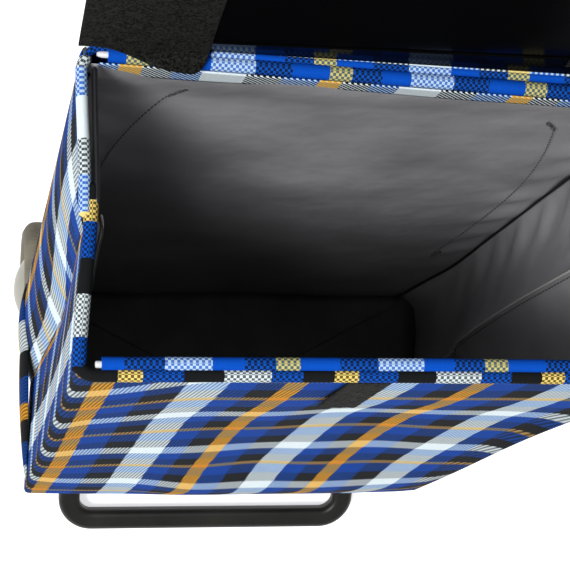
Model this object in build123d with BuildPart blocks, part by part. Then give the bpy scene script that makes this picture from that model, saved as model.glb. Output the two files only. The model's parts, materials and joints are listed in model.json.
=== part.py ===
from build123d import *
import math
import os

# Folding two-wheeled shopping trolley, in millimetres.
# X runs across the trolley, -Y is the front, +Z is up, and the floor is Z = 0.

# ---- driving dimensions -------------------------------------------------------------------
BAG_WIDTH = 360
BAG_DEPTH = 186
BAG_HEIGHT = 620
BAG_BOTTOM_Z = 132
FRONT_Y = -126                      # outer front face of the bag
SHELL = 3                           # cloth, stiffener and lining together

WHEEL_RADIUS = 64
TYRE_WIDTH = 28
TYRE_INNER_X = 152                  # inner side of the tyre
AXLE_RADIUS = 5
AXLE_Y = 74

UPRIGHT_X = 110
UPRIGHT_Y = 85
UPRIGHT_RADIUS = 9
TUBE_WALL = 1.5

HINGE_Y = 102                       # handle hinge, behind the uprights
HINGE_Z = 802
HANDLE_LEAN = 12                    # degrees that the handle leans back
HANDLE_TOP_Z = 1030
GRIP_RADIUS = 14.5

STAND_PIVOT = (-16, 90)             # Y, Z of the stand's hinge
STAND_BAR = (-137.5, 12.5)          # Y, Z of the bar on the floor
STAND_LEG_X = 132.5
STAND_TUBE = (20, 16)               # width across the loop, thickness
STAND_CORNER = 22

PATCH_X = -13                       # middle of the closing patch, left of the bag's middle

LID_AXIS = (60, 764)                # Y, Z of the lid's fabric hinge
LID_LEAN = 5                        # degrees that the open lid leans back
LID_LENGTH = 188
LIP_LENGTH = 70
WING_WIDTH = 70

RUNNING_GAP = 0.05                  # radial play of a pin in its hole
SIDE_GAP = 0.5                      # play beside a turning piece

# ---- places worked out from them ----------------------------------------------------------
BACK_Y = FRONT_Y + BAG_DEPTH
RIM_Z = BAG_BOTTOM_Z + BAG_HEIGHT
HALF_WIDTH = BAG_WIDTH / 2
MIDDLE_Y = FRONT_Y + BAG_DEPTH / 2
BRACKET_HALF = 12
BRACKET_OUTER_X = UPRIGHT_X + BRACKET_HALF
WHEEL_X = TYRE_INNER_X + TYRE_WIDTH / 2
TYRE_OUTER_X = TYRE_INNER_X + TYRE_WIDTH
SIDES = {"left": -1, "right": 1}

os.makedirs("parts", exist_ok=True)


def save(part, name):
    """Label a finished piece and write it to its own file."""
    part.label = name
    export_step(part, f"parts/{name}.step")


def across(x):
    """Plane facing +X at x, with its sketch axes along Y and Z."""
    return Plane(origin=(x, 0, 0), x_dir=(0, 1, 0), z_dir=(1, 0, 0))


def slab(x_range, y_range, z_range):
    """Centre point and size of an upright block between three pairs of limits."""
    centre = tuple((low + high) / 2 for low, high in (x_range, y_range, z_range))
    size = tuple(high - low for low, high in (x_range, y_range, z_range))
    return centre, size


# ---- uprights and the bars between them ---------------------------------------------------
KNUCKLE_LOW_Z = 760
KNUCKLE_TOP_Z = 800
SOCKET_LOW_Z = 92

for side, sign in SIDES.items():
    with BuildPart() as upright:
        with BuildSketch(Plane.XY.offset(SOCKET_LOW_Z)):
            with Locations((sign * UPRIGHT_X, UPRIGHT_Y)):
                Circle(UPRIGHT_RADIUS)
                Circle(UPRIGHT_RADIUS - TUBE_WALL, mode=Mode.SUBTRACT)
        extrude(amount=KNUCKLE_TOP_Z - 4 - SOCKET_LOW_Z)
    save(upright.part, f"{side}_upright")

CROSS_BAR_Z = 705
CROSS_BAR_RADIUS = 7
with BuildPart() as cross_bar:
    with BuildSketch(across(-UPRIGHT_X)):
        with Locations((UPRIGHT_Y, CROSS_BAR_Z)):
            Circle(CROSS_BAR_RADIUS)
            Circle(CROSS_BAR_RADIUS - TUBE_WALL, mode=Mode.SUBTRACT)
    extrude(amount=2 * UPRIGHT_X)
    for sign in SIDES.values():
        with Locations((sign * UPRIGHT_X, UPRIGHT_Y, CROSS_BAR_Z)):
            Cylinder(UPRIGHT_RADIUS, 40, mode=Mode.SUBTRACT)
save(cross_bar.part, "upper_cross_bar")

BASE_TUBE = (30, 118)
with BuildPart() as base_tube:
    with BuildSketch(across(-UPRIGHT_X + BRACKET_HALF)):
        with Locations(BASE_TUBE):
            Circle(8)
            Circle(8 - TUBE_WALL, mode=Mode.SUBTRACT)
    extrude(amount=2 * (UPRIGHT_X - BRACKET_HALF))
save(base_tube.part, "base_cross_tube")

# ---- base brackets: socket for the upright, bore for the axle, hinge for the stand --------
PIVOT_Y, PIVOT_Z = STAND_PIVOT
PIN_RADIUS = 4
BRACKET_TOP_Z = BAG_BOTTOM_Z - 0.5

for side, sign in SIDES.items():
    with BuildPart() as bracket:
        with BuildSketch(across(sign * UPRIGHT_X - BRACKET_HALF)) as outline:
            with BuildLine():
                Polyline(
                    (PIVOT_Y - 16, PIVOT_Z - 4),
                    (PIVOT_Y - 16, BRACKET_TOP_Z - 12),
                    (PIVOT_Y - 4, BRACKET_TOP_Z),
                    (BACK_Y + 6, BRACKET_TOP_Z),
                    (BACK_Y + 12, BRACKET_TOP_Z + 36),
                    (UPRIGHT_Y + 13, BRACKET_TOP_Z + 36),
                    (UPRIGHT_Y + 13, 60),
                    (AXLE_Y + 8, 46),
                    (AXLE_Y - 10, 46),
                    (PIVOT_Y + 10, PIVOT_Z - 17),
                    (PIVOT_Y - 8, PIVOT_Z - 17),
                    close=True,
                )
            make_face()
            fillet(outline.vertices(), 5)
        extrude(amount=2 * BRACKET_HALF)
        with BuildSketch(across(sign * UPRIGHT_X - BRACKET_HALF)):
            with Locations((AXLE_Y, WHEEL_RADIUS)):
                Circle(AXLE_RADIUS)
            with Locations(STAND_PIVOT):
                Circle(PIN_RADIUS)
        extrude(amount=2 * BRACKET_HALF, mode=Mode.SUBTRACT)
        with BuildSketch(Plane.XY.offset(SOCKET_LOW_Z)):
            with Locations((sign * UPRIGHT_X, UPRIGHT_Y)):
                Circle(UPRIGHT_RADIUS)
        extrude(amount=100, mode=Mode.SUBTRACT)
        # shallow pocket moulded into the outer face, between the bosses
        pocket_x = sign * BRACKET_OUTER_X - (3 if sign > 0 else 0)
        with BuildSketch(across(pocket_x)) as pocket:
            with BuildLine():
                Polyline(
                    (PIVOT_Y + 14, PIVOT_Z + 6),
                    (PIVOT_Y + 14, BRACKET_TOP_Z - 8),
                    (UPRIGHT_Y - 17, BRACKET_TOP_Z - 8),
                    (UPRIGHT_Y - 17, 84),
                    (AXLE_Y - 24, 84),
                    close=True,
                )
            make_face()
            fillet(pocket.vertices(), 4)
        extrude(amount=3, mode=Mode.SUBTRACT)
    save(bracket.part, f"{side}_base_bracket")

# ---- axle, spacers and wheels --------------------------------------------------------------
HUB_INNER_X = TYRE_INNER_X - 0.5
AXLE_END_X = 179
with BuildPart() as axle:
    with BuildSketch(across(-AXLE_END_X)):
        with Locations((AXLE_Y, WHEEL_RADIUS)):
            Circle(AXLE_RADIUS)
    extrude(amount=2 * AXLE_END_X)
    chamfer(axle.edges().filter_by(GeomType.CIRCLE), 0.8)
save(axle.part, "axle")

with BuildPart() as spacers:
    for start in (-HUB_INNER_X + SIDE_GAP, BRACKET_OUTER_X):
        with BuildSketch(across(start)):
            with Locations((AXLE_Y, WHEEL_RADIUS)):
                Circle(8)
                Circle(AXLE_RADIUS, mode=Mode.SUBTRACT)
        extrude(amount=HUB_INNER_X - SIDE_GAP - BRACKET_OUTER_X)
save(spacers.part, "axle_spacers")

PUSH_NUT_X = 174
with BuildPart() as push_nuts:
    for start in (-PUSH_NUT_X - 2, PUSH_NUT_X):
        with BuildSketch(across(start)):
            with Locations((AXLE_Y, WHEEL_RADIUS)):
                Circle(9)
                Circle(AXLE_RADIUS, mode=Mode.SUBTRACT)
        extrude(amount=2)
save(push_nuts.part, "axle_push_nuts")

RIM_RADIUS = 50
HUB_RADIUS = 14
BUSH_RADIUS = 7
HUB_OUTER_X = PUSH_NUT_X - SIDE_GAP
SPOKES = 6
CAP_RADIUS = 30
CAP_INNER_X = 181
CAP_OUTER_X = 187.5
DOME_RISE = CAP_OUTER_X - HUB_OUTER_X - 3
DOME_RADIUS = (CAP_RADIUS**2 + DOME_RISE**2) / (2 * DOME_RISE)
DOME_ANGLE = math.asin(CAP_RADIUS / DOME_RADIUS)


def dome_point(angle):
    """Point of the hub cap's dome, at an angle from the axle."""
    return (
        CAP_OUTER_X - DOME_RADIUS * (1 - math.cos(angle)),
        DOME_RADIUS * math.sin(angle),
    )


AXLE_LINE = Axis((0, AXLE_Y, WHEEL_RADIUS), (1, 0, 0))

for side, sign in SIDES.items():
    # half-profiles drawn outwards from the trolley's middle and up from the axle line
    profile_plane = Plane(
        origin=(0, AXLE_Y, WHEEL_RADIUS), x_dir=(sign, 0, 0), z_dir=(0, -sign, 0)
    )

    with BuildPart() as tyre:
        with BuildSketch(profile_plane):
            with BuildLine():
                bead = Line((TYRE_INNER_X + 4, RIM_RADIUS), (TYRE_OUTER_X - 4, RIM_RADIUS))
                outer_wall = Line(bead @ 1, (TYRE_OUTER_X, RIM_RADIUS + 4))
                tread = ThreePointArc(
                    outer_wall @ 1, (WHEEL_X, WHEEL_RADIUS), (TYRE_INNER_X, RIM_RADIUS + 4)
                )
                Line(tread @ 1, bead @ 0)
            make_face()
        revolve(axis=AXLE_LINE)
    save(tyre.part, f"{side}_tyre")

    with BuildPart() as rim:
        with BuildSketch(profile_plane):
            with BuildLine():
                Polyline(
                    (HUB_INNER_X, BUSH_RADIUS),
                    (HUB_OUTER_X, BUSH_RADIUS),
                    (HUB_OUTER_X, HUB_RADIUS),
                    (WHEEL_X + 3, HUB_RADIUS),
                    (WHEEL_X + 3, RIM_RADIUS - 6),
                    (TYRE_OUTER_X - 5, RIM_RADIUS - 4),
                    (TYRE_OUTER_X - 5, RIM_RADIUS),
                    (TYRE_INNER_X + 5, RIM_RADIUS),
                    (TYRE_INNER_X + 5, RIM_RADIUS - 4),
                    (WHEEL_X - 3, RIM_RADIUS - 6),
                    (WHEEL_X - 3, HUB_RADIUS),
                    (HUB_INNER_X, HUB_RADIUS),
                    close=True,
                )
            make_face()
        revolve(axis=AXLE_LINE)
        # windows in the web leave the spokes
        with BuildSketch(Plane(origin=(sign * (WHEEL_X - 6), AXLE_Y, WHEEL_RADIUS),
                               x_dir=(0, 1, 0), z_dir=(1, 0, 0))):
            with PolarLocations(31, SPOKES):
                SlotOverall(18, 13, rotation=90)
        extrude(amount=12, both=True, mode=Mode.SUBTRACT)
    save(rim.part, f"{side}_wheel_rim")

    with BuildPart() as bush:
        with BuildSketch(profile_plane):
            with BuildLine():
                Polyline(
                    (HUB_INNER_X, AXLE_RADIUS + RUNNING_GAP),
                    (HUB_OUTER_X, AXLE_RADIUS + RUNNING_GAP),
                    (HUB_OUTER_X, BUSH_RADIUS),
                    (HUB_INNER_X, BUSH_RADIUS),
                    close=True,
                )
            make_face()
        revolve(axis=AXLE_LINE)
    save(bush.part, f"{side}_wheel_bush")

    # domed cap that snaps over the hub and hides the axle's end
    with BuildPart() as cap:
        with BuildSketch(profile_plane):
            with BuildLine():
                rim_line = Line((HUB_OUTER_X, 11), (HUB_OUTER_X, CAP_RADIUS))
                edge_line = Line(rim_line @ 1, dome_point(DOME_ANGLE))
                dome = ThreePointArc(edge_line @ 1, dome_point(DOME_ANGLE / 2), dome_point(0))
                axis_line = Line(dome @ 1, (CAP_INNER_X, 0))
                Polyline(axis_line @ 1, (CAP_INNER_X, 11), rim_line @ 0)
            make_face()
        revolve(axis=AXLE_LINE)
    save(cap.part, f"{side}_hub_cap")

# ---- folding stand: one bent tube, with end plugs, feet and pivot pins --------------------
BAR_Y, BAR_Z = STAND_BAR
STAND_LENGTH = math.hypot(PIVOT_Y - BAR_Y, PIVOT_Z - BAR_Z)
STAND_DROP = math.atan2(PIVOT_Z - BAR_Z, PIVOT_Y - BAR_Y)
STAND_BEHIND = 12
# plane of the loop: sketch X along +X, sketch Y from the pivot down to the bar
loop_plane = Plane(
    origin=(0, PIVOT_Y, PIVOT_Z),
    x_dir=(1, 0, 0),
    z_dir=(0, math.sin(STAND_DROP), -math.cos(STAND_DROP)),
)


def stand_tube(radial_offset):
    """The bent tube of the stand, its section shrunk all round by radial_offset."""
    with BuildPart() as tube:
        with BuildLine(loop_plane):
            FilletPolyline(
                (-STAND_LEG_X, -STAND_BEHIND),
                (-STAND_LEG_X, STAND_LENGTH),
                (STAND_LEG_X, STAND_LENGTH),
                (STAND_LEG_X, -STAND_BEHIND),
                radius=STAND_CORNER,
            )
        start = loop_plane.from_local_coords((-STAND_LEG_X, -STAND_BEHIND, 0))
        with BuildSketch(Plane(origin=start, x_dir=(1, 0, 0), z_dir=loop_plane.y_dir)):
            RectangleRounded(
                STAND_TUBE[0] - 2 * radial_offset,
                STAND_TUBE[1] - 2 * radial_offset,
                6 - radial_offset,
            )
        sweep()
    return tube.part


outer_tube = stand_tube(0)
with BuildPart() as stand:
    add(outer_tube)
    add(stand_tube(TUBE_WALL), mode=Mode.SUBTRACT)
    with Locations((0, PIVOT_Y, PIVOT_Z)):
        Cylinder(PIN_RADIUS + RUNNING_GAP, 400, rotation=(0, 90, 0), mode=Mode.SUBTRACT)
save(stand.part, "stand_loop")

with BuildPart() as plugs:
    for sign in SIDES.values():
        end = loop_plane.from_local_coords((sign * STAND_LEG_X, -STAND_BEHIND, 0))
        with BuildSketch(Plane(origin=end, x_dir=(1, 0, 0), z_dir=loop_plane.y_dir)):
            RectangleRounded(*STAND_TUBE, 6)
        extrude(amount=-2)
save(plugs.part, "stand_end_plugs")

with BuildPart() as feet:
    for sign in SIDES.values():
        centre, size = slab(
            (sign * 85 - 18, sign * 85 + 18), (BAR_Y - 8, BAR_Y + 8), (0, BAR_Z - 2)
        )
        with Locations(centre):
            Box(*size)
    fillet(feet.edges().filter_by(Axis.Z), 3)
    add(outer_tube, mode=Mode.SUBTRACT)
save(feet.part, "stand_feet")

LEG_OUTER_X = STAND_LEG_X + STAND_TUBE[0] / 2
with BuildPart() as pins:
    for sign in SIDES.values():
        inner_x = sign * (UPRIGHT_X - BRACKET_HALF)
        with BuildSketch(across(inner_x)):
            with Locations(STAND_PIVOT):
                Circle(PIN_RADIUS)
        extrude(amount=sign * (LEG_OUTER_X + SIDE_GAP - abs(inner_x)))
        for head_x in (inner_x, sign * (LEG_OUTER_X + SIDE_GAP)):
            outwards = sign if abs(head_x) > UPRIGHT_X else -sign
            with BuildSketch(across(head_x)):
                with Locations(STAND_PIVOT):
                    Circle(PIN_RADIUS + 3)
            extrude(amount=2.5 * outwards)
save(pins.part, "stand_pivot_pins")

# ---- handle hinge --------------------------------------------------------------------------
KNUCKLE_HALF = 15
TONGUE_HALF = 7.7
FORK_HALF = 8
EAR_RADIUS = 11
TONGUE_RADIUS = 9
HINGE_PIN_RADIUS = 3
BUTTON_RADIUS = 7.5
BUTTON_SEAT_X = 9.6                 # floor of the button's pocket, from the knuckle's middle
KNUCKLE_FRONT_Y = UPRIGHT_Y - 12
KNUCKLE_BACK_Y = HINGE_Y - 2
BLOCK_DEPTH = KNUCKLE_BACK_Y - KNUCKLE_FRONT_Y

for side, sign in SIDES.items():
    middle_x = sign * UPRIGHT_X
    hinge = (middle_x, HINGE_Y, HINGE_Z)

    with BuildPart() as lower:
        centre, size = slab(
            (middle_x - KNUCKLE_HALF, middle_x + KNUCKLE_HALF),
            (KNUCKLE_FRONT_Y, KNUCKLE_BACK_Y),
            (KNUCKLE_LOW_Z, KNUCKLE_TOP_Z),
        )
        with Locations(centre):
            Box(*size)
        fillet(lower.edges().filter_by(Axis.Z), 6)
        # the two ears of the fork
        with BuildSketch(across(middle_x - KNUCKLE_HALF)) as ears:
            with Locations((HINGE_Y, HINGE_Z)):
                Circle(EAR_RADIUS)
            with BuildLine():
                Polyline(
                    (HINGE_Y - EAR_RADIUS, HINGE_Z),
                    (HINGE_Y - EAR_RADIUS, HINGE_Z - 26),
                    (HINGE_Y - 2, HINGE_Z - 26),
                    (HINGE_Y + 1, HINGE_Z - EAR_RADIUS),
                    (HINGE_Y, HINGE_Z),
                    close=True,
                )
            make_face()
        extrude(amount=2 * KNUCKLE_HALF)
        with Locations((middle_x, UPRIGHT_Y, KNUCKLE_LOW_Z)):
            Cylinder(UPRIGHT_RADIUS, 2 * (KNUCKLE_TOP_Z - 4 - KNUCKLE_LOW_Z), mode=Mode.SUBTRACT)
        # room between the ears for the tongue
        with Locations(hinge):
            Cylinder(EAR_RADIUS + SIDE_GAP, 2 * FORK_HALF, rotation=(0, 90, 0),
                     mode=Mode.SUBTRACT)
        for y_low, z_low in ((HINGE_Y - EAR_RADIUS - 1, KNUCKLE_TOP_Z), (KNUCKLE_BACK_Y, HINGE_Z - 27)):
            centre, size = slab(
                (middle_x - FORK_HALF, middle_x + FORK_HALF),
                (y_low, HINGE_Y + EAR_RADIUS + 1),
                (z_low, HINGE_Z + EAR_RADIUS + 1),
            )
            with Locations(centre):
                Box(*size, mode=Mode.SUBTRACT)
        with Locations(hinge):
            Cylinder(HINGE_PIN_RADIUS, 80, rotation=(0, 90, 0), mode=Mode.SUBTRACT)
        # pocket for the lock button, open to the outside
        with BuildSketch(across(middle_x + sign * BUTTON_SEAT_X)):
            with Locations((HINGE_Y, HINGE_Z)):
                Circle(BUTTON_RADIUS + 0.3)
        extrude(amount=sign * 20, mode=Mode.SUBTRACT)
    save(lower.part, f"{side}_lower_knuckle")

    lean_axis = Axis((middle_x, UPRIGHT_Y, HINGE_Z), (-1, 0, 0))
    with BuildPart() as upper:
        centre, size = slab(
            (middle_x - KNUCKLE_HALF, middle_x + KNUCKLE_HALF),
            (KNUCKLE_FRONT_Y, KNUCKLE_BACK_Y),
            (KNUCKLE_TOP_Z + 8, KNUCKLE_TOP_Z + 46),
        )
        with Locations(centre):
            Box(*size)
        fillet(upper.edges().filter_by(Axis.Z), 6)
    leaning = upper.part.rotate(lean_axis, HANDLE_LEAN)
    with BuildPart() as upper:
        add(leaning)
        # foot that stands on the lower knuckle
        centre, size = slab(
            (middle_x - KNUCKLE_HALF + 1, middle_x + KNUCKLE_HALF - 1),
            (KNUCKLE_FRONT_Y + 1, KNUCKLE_BACK_Y - 2),
            (KNUCKLE_TOP_Z + SIDE_GAP, KNUCKLE_TOP_Z + 16),
        )
        with Locations(centre):
            Box(*size)
        with Locations(hinge):
            Cylinder(EAR_RADIUS + SIDE_GAP, 80, rotation=(0, 90, 0), mode=Mode.SUBTRACT)
        # tongue of the hinge
        with BuildSketch(across(middle_x - TONGUE_HALF)):
            with Locations((HINGE_Y, HINGE_Z)):
                Circle(TONGUE_RADIUS)
            with BuildLine():
                Polyline(
                    (HINGE_Y - 14, HINGE_Z - 0.5),
                    (HINGE_Y, HINGE_Z - 0.5),
                    (HINGE_Y + TONGUE_RADIUS, HINGE_Z),
                    (HINGE_Y + 1, HINGE_Z + 16),
                    (HINGE_Y - 14, HINGE_Z + 16),
                    close=True,
                )
            make_face()
        extrude(amount=2 * TONGUE_HALF)
        with Locations(hinge):
            Cylinder(HINGE_PIN_RADIUS + RUNNING_GAP, 80, rotation=(0, 90, 0),
                     mode=Mode.SUBTRACT)
        # socket for the handle tube
        socket = Plane(
            origin=(middle_x, UPRIGHT_Y, HINGE_Z),
            x_dir=(1, 0, 0),
            z_dir=(0, math.sin(math.radians(HANDLE_LEAN)), math.cos(math.radians(HANDLE_LEAN))),
        )
        with BuildSketch(socket.offset(14)):
            Circle(UPRIGHT_RADIUS)
        extrude(amount=100, mode=Mode.SUBTRACT)
    save(upper.part, f"{side}_upper_knuckle")

    with BuildPart() as button:
        with BuildSketch(across(middle_x + sign * (BUTTON_SEAT_X + 3))):
            with Locations((HINGE_Y, HINGE_Z)):
                Circle(BUTTON_RADIUS)
        extrude(amount=sign * 5)
        fillet(button.faces().sort_by(Axis.X)[-1 if sign > 0 else 0].edges(), 1.2)
    save(button.part, f"{side}_lock_button")

with BuildPart() as hinge_pins:
    for sign in SIDES.values():
        start_x = sign * (UPRIGHT_X - KNUCKLE_HALF)
        with BuildSketch(across(start_x)):
            with Locations((HINGE_Y, HINGE_Z)):
                Circle(HINGE_PIN_RADIUS)
        extrude(amount=sign * (KNUCKLE_HALF + BUTTON_SEAT_X))
save(hinge_pins.part, "handle_hinge_pins")

# wave springs under the buttons, as flat rings with play above them
with BuildPart() as springs:
    for sign in SIDES.values():
        with BuildSketch(across(sign * (UPRIGHT_X + BUTTON_SEAT_X))):
            with Locations((HINGE_Y, HINGE_Z)):
                Circle(6)
                Circle(4.5, mode=Mode.SUBTRACT)
        extrude(amount=sign * 0.4)
save(springs.part, "lock_springs")

# ---- handle: one bent tube with a soft grip ------------------------------------------------
LEAN = math.radians(HANDLE_LEAN)
HANDLE_LENGTH = (HANDLE_TOP_Z - HINGE_Z) / math.cos(LEAN)
HANDLE_CORNER = 34
handle_plane = Plane(
    origin=(0, UPRIGHT_Y, HINGE_Z),
    x_dir=(1, 0, 0),
    z_dir=(0, -math.cos(LEAN), math.sin(LEAN)),
)


def handle_tube_part(radius):
    """Bent round bar along the handle's centre line."""
    with BuildPart() as tube:
        with BuildLine(handle_plane):
            FilletPolyline(
                (-UPRIGHT_X, 14),
                (-UPRIGHT_X, HANDLE_LENGTH),
                (UPRIGHT_X, HANDLE_LENGTH),
                (UPRIGHT_X, 14),
                radius=HANDLE_CORNER,
            )
        start = handle_plane.from_local_coords((-UPRIGHT_X, 14, 0))
        with BuildSketch(Plane(origin=start, x_dir=(1, 0, 0), z_dir=handle_plane.y_dir)):
            Circle(radius)
        sweep()
    return tube.part


with BuildPart() as handle:
    add(handle_tube_part(UPRIGHT_RADIUS))
    add(handle_tube_part(UPRIGHT_RADIUS - TUBE_WALL), mode=Mode.SUBTRACT)
save(handle.part, "handle_tube")

GRIP_HALF = 72
grip_centre = handle_plane.from_local_coords((0, HANDLE_LENGTH, 0))
with BuildPart() as grip:
    with BuildSketch(Plane(origin=grip_centre, x_dir=(1, 0, 0), z_dir=(0, 0, 1))):
        with BuildLine():
            inner = Line((-GRIP_HALF, UPRIGHT_RADIUS), (GRIP_HALF, UPRIGHT_RADIUS))
            right_end = Line(inner @ 1, (GRIP_HALF, GRIP_RADIUS - 2))
            swell = ThreePointArc(
                right_end @ 1, (0, GRIP_RADIUS), (-GRIP_HALF, GRIP_RADIUS - 2)
            )
            Line(swell @ 1, inner @ 0)
        make_face()
    revolve(axis=Axis(grip_centre, (1, 0, 0)))
    # ribbed collars at both ends
    for sign in SIDES.values():
        with BuildSketch(across(sign * (GRIP_HALF - 3))):
            with Locations((grip_centre.Y, grip_centre.Z)):
                Circle(GRIP_RADIUS)
                Circle(UPRIGHT_RADIUS, mode=Mode.SUBTRACT)
        extrude(amount=sign * 5)
save(grip.part, "handle_grip")

# ---- hooks and loops that hold the bag on the uprights ------------------------------------
HOOK_Z = 728
for side, sign in SIDES.items():
    with BuildPart() as hook:
        with BuildSketch(Plane.XY.offset(HOOK_Z)):
            with Locations((sign * UPRIGHT_X, UPRIGHT_Y)):
                Circle(UPRIGHT_RADIUS + 2.5)
            with Locations((sign * UPRIGHT_X, (BACK_Y + UPRIGHT_Y) / 2)):
                Rectangle(14, UPRIGHT_Y - BACK_Y - 0.6)
            with Locations((sign * UPRIGHT_X, UPRIGHT_Y)):
                Circle(UPRIGHT_RADIUS, mode=Mode.SUBTRACT)
        extrude(amount=14)
    save(hook.part, f"{side}_bag_hook")

with BuildPart() as loops:
    for height in (220, 480):
        with BuildSketch(Plane.XY.offset(height)):
            for sign in SIDES.values():
                with Locations((sign * UPRIGHT_X, UPRIGHT_Y)):
                    Circle(UPRIGHT_RADIUS + 1.5)
                with Locations((sign * UPRIGHT_X, (BACK_Y + UPRIGHT_Y) / 2)):
                    Rectangle(8, UPRIGHT_Y - BACK_Y - 0.6)
                with Locations((sign * UPRIGHT_X, UPRIGHT_Y)):
                    Circle(UPRIGHT_RADIUS, mode=Mode.SUBTRACT)
        extrude(amount=30)
save(loops.part, "bag_tube_loops")

with BuildPart() as screws:
    for sign in SIDES.values():
        for place in ((UPRIGHT_Y, 148), (BASE_TUBE[0], BASE_TUBE[1])):
            surface_x = BRACKET_OUTER_X if place[1] > 130 else BRACKET_OUTER_X - 3
            with BuildSketch(across(sign * surface_x)):
                with Locations(place):
                    Circle(4)
            extrude(amount=sign * 2.2)
        with BuildSketch(across(sign * (UPRIGHT_X + KNUCKLE_HALF))):
            with Locations((UPRIGHT_Y, KNUCKLE_LOW_Z + 14)):
                Circle(4)
        extrude(amount=sign * 2.2)
save(screws.part, "frame_screws")

# ---- bag ------------------------------------------------------------------------------------
PANEL_X = HALF_WIDTH - 2
FRONT_INNER_Y = FRONT_Y + SHELL
BACK_INNER_Y = BACK_Y - SHELL
CREASE_IN = 12                      # how far the side's middle crease is drawn in

with BuildPart() as back_panel:
    centre, size = slab((-PANEL_X, PANEL_X), (BACK_INNER_Y, BACK_Y), (BAG_BOTTOM_Z, RIM_Z - 4))
    with Locations(centre):
        Box(*size)
    fillet(back_panel.edges().filter_by(Axis.Y), 8)
save(back_panel.part, "bag_back_panel")

with BuildPart() as front_panel:
    centre, size = slab(
        (-PANEL_X, PANEL_X), (FRONT_Y, FRONT_INNER_Y), (BAG_BOTTOM_Z + 1, RIM_Z - 4)
    )
    with Locations(centre):
        Box(*size)
    fillet(front_panel.edges().filter_by(Axis.Y), 8)
save(front_panel.part, "bag_front_panel")

for side, sign in SIDES.items():
    with BuildPart() as side_panel:
        with BuildSketch(Plane.XY.offset(BAG_BOTTOM_Z + 3)):
            with BuildLine():
                Polyline(
                    (sign * HALF_WIDTH, FRONT_INNER_Y + 1),
                    (sign * (HALF_WIDTH - CREASE_IN), MIDDLE_Y),
                    (sign * HALF_WIDTH, BACK_INNER_Y),
                    (sign * (HALF_WIDTH - SHELL), BACK_INNER_Y),
                    (sign * (HALF_WIDTH - CREASE_IN - SHELL), MIDDLE_Y),
                    (sign * (HALF_WIDTH - SHELL), FRONT_INNER_Y + 1),
                    close=True,
                )
            make_face()
        extrude(amount=BAG_HEIGHT - 8)
    save(side_panel.part, f"bag_{side}_side")

FLOOR_FRONT_Y = FRONT_INNER_Y + 1
with BuildPart() as bottom:
    centre, size = slab(
        (-PANEL_X, PANEL_X), (FLOOR_FRONT_Y, BACK_INNER_Y), (BAG_BOTTOM_Z, BAG_BOTTOM_Z + 2)
    )
    with Locations(centre):
        Box(*size)
save(bottom.part, "bag_bottom")

with BuildPart() as board:
    centre, size = slab(
        (-HALF_WIDTH + CREASE_IN + 5, HALF_WIDTH - CREASE_IN - 5),
        (FLOOR_FRONT_Y + 3, BACK_INNER_Y - 2),
        (BAG_BOTTOM_Z + 2, BAG_BOTTOM_Z + 5),
    )
    with Locations(centre):
        Box(*size)
    fillet(board.edges().filter_by(Axis.Z), 10)
save(board.part, "base_board")

# rods in sewn sleeves stiffen the mouth of the bag, front and back
ROD_RADIUS = 2
SLEEVE_RADIUS = 4
ROD_HALF = 170
SLEEVE_HALF = 165
mouth_rods = {"front": FRONT_INNER_Y + SLEEVE_RADIUS, "back": BACK_INNER_Y - SLEEVE_RADIUS}
for place, rod_y in mouth_rods.items():
    rod_z = RIM_Z - SLEEVE_RADIUS
    with BuildPart() as rod:
        with BuildSketch(across(-ROD_HALF)):
            with Locations((rod_y, rod_z)):
                Circle(ROD_RADIUS)
        extrude(amount=2 * ROD_HALF)
        fillet(rod.edges().filter_by(GeomType.CIRCLE), 1)
    save(rod.part, f"{place}_mouth_rod")

    with BuildPart() as sleeve:
        with BuildSketch(across(-SLEEVE_HALF)):
            with Locations((rod_y, rod_z)):
                Circle(SLEEVE_RADIUS)
                Circle(ROD_RADIUS, mode=Mode.SUBTRACT)
        extrude(amount=2 * SLEEVE_HALF)
    save(sleeve.part, f"{place}_rod_sleeve")

    # turned-over hem of the panel, outside the rod
    hem_y = FRONT_Y + 0.5 if place == "front" else BACK_Y - 0.5
    with BuildPart() as hem:
        with BuildSketch(across(-PANEL_X)):
            with Locations((hem_y, RIM_Z - 3.5)):
                Circle(3.5)
        extrude(amount=2 * PANEL_X)
        with Locations((0, (FRONT_Y + BACK_Y) / 2, RIM_Z - 104)):
            Box(2 * BAG_WIDTH, 2 * BAG_DEPTH, 200, mode=Mode.SUBTRACT)
        with BuildSketch(across(-BAG_WIDTH)):
            with Locations((rod_y, rod_z)):
                Circle(SLEEVE_RADIUS)
        extrude(amount=2 * BAG_WIDTH, mode=Mode.SUBTRACT)
    save(hem.part, f"bag_{place}_hem")

with BuildPart() as patch:
    centre, size = slab(
        (PATCH_X - 12.5, PATCH_X + 12.5), (FRONT_Y - 1.5, FRONT_Y), (RIM_Z - 105, RIM_Z - 12)
    )
    with Locations(centre):
        Box(*size)
    fillet(patch.edges().filter_by(Axis.Y), 2)
save(patch.part, "front_loop_patch")

# ---- lid, its lip and its two folded wings -------------------------------------------------
TILT = math.radians(LID_LEAN)
lid_plane = Plane(
    origin=(0, *LID_AXIS),
    x_dir=(1, 0, 0),
    z_dir=(0, -math.cos(TILT), math.sin(TILT)),
)
LID_HALF = HALF_WIDTH - 2
PANEL_THICK = 5
LINING_THICK = 1


def lid_piece(x_range, up_range, depth_range, corner):
    """Flat piece of the open lid: across, up the lid, and out from its lining side."""
    centre_x = sum(x_range) / 2
    centre_up = sum(up_range) / 2
    with BuildPart() as piece:
        with BuildSketch(lid_plane.offset(depth_range[0])):
            with Locations((centre_x, centre_up)):
                RectangleRounded(x_range[1] - x_range[0], up_range[1] - up_range[0], corner)
        extrude(amount=depth_range[1] - depth_range[0])
    return piece.part


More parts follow.
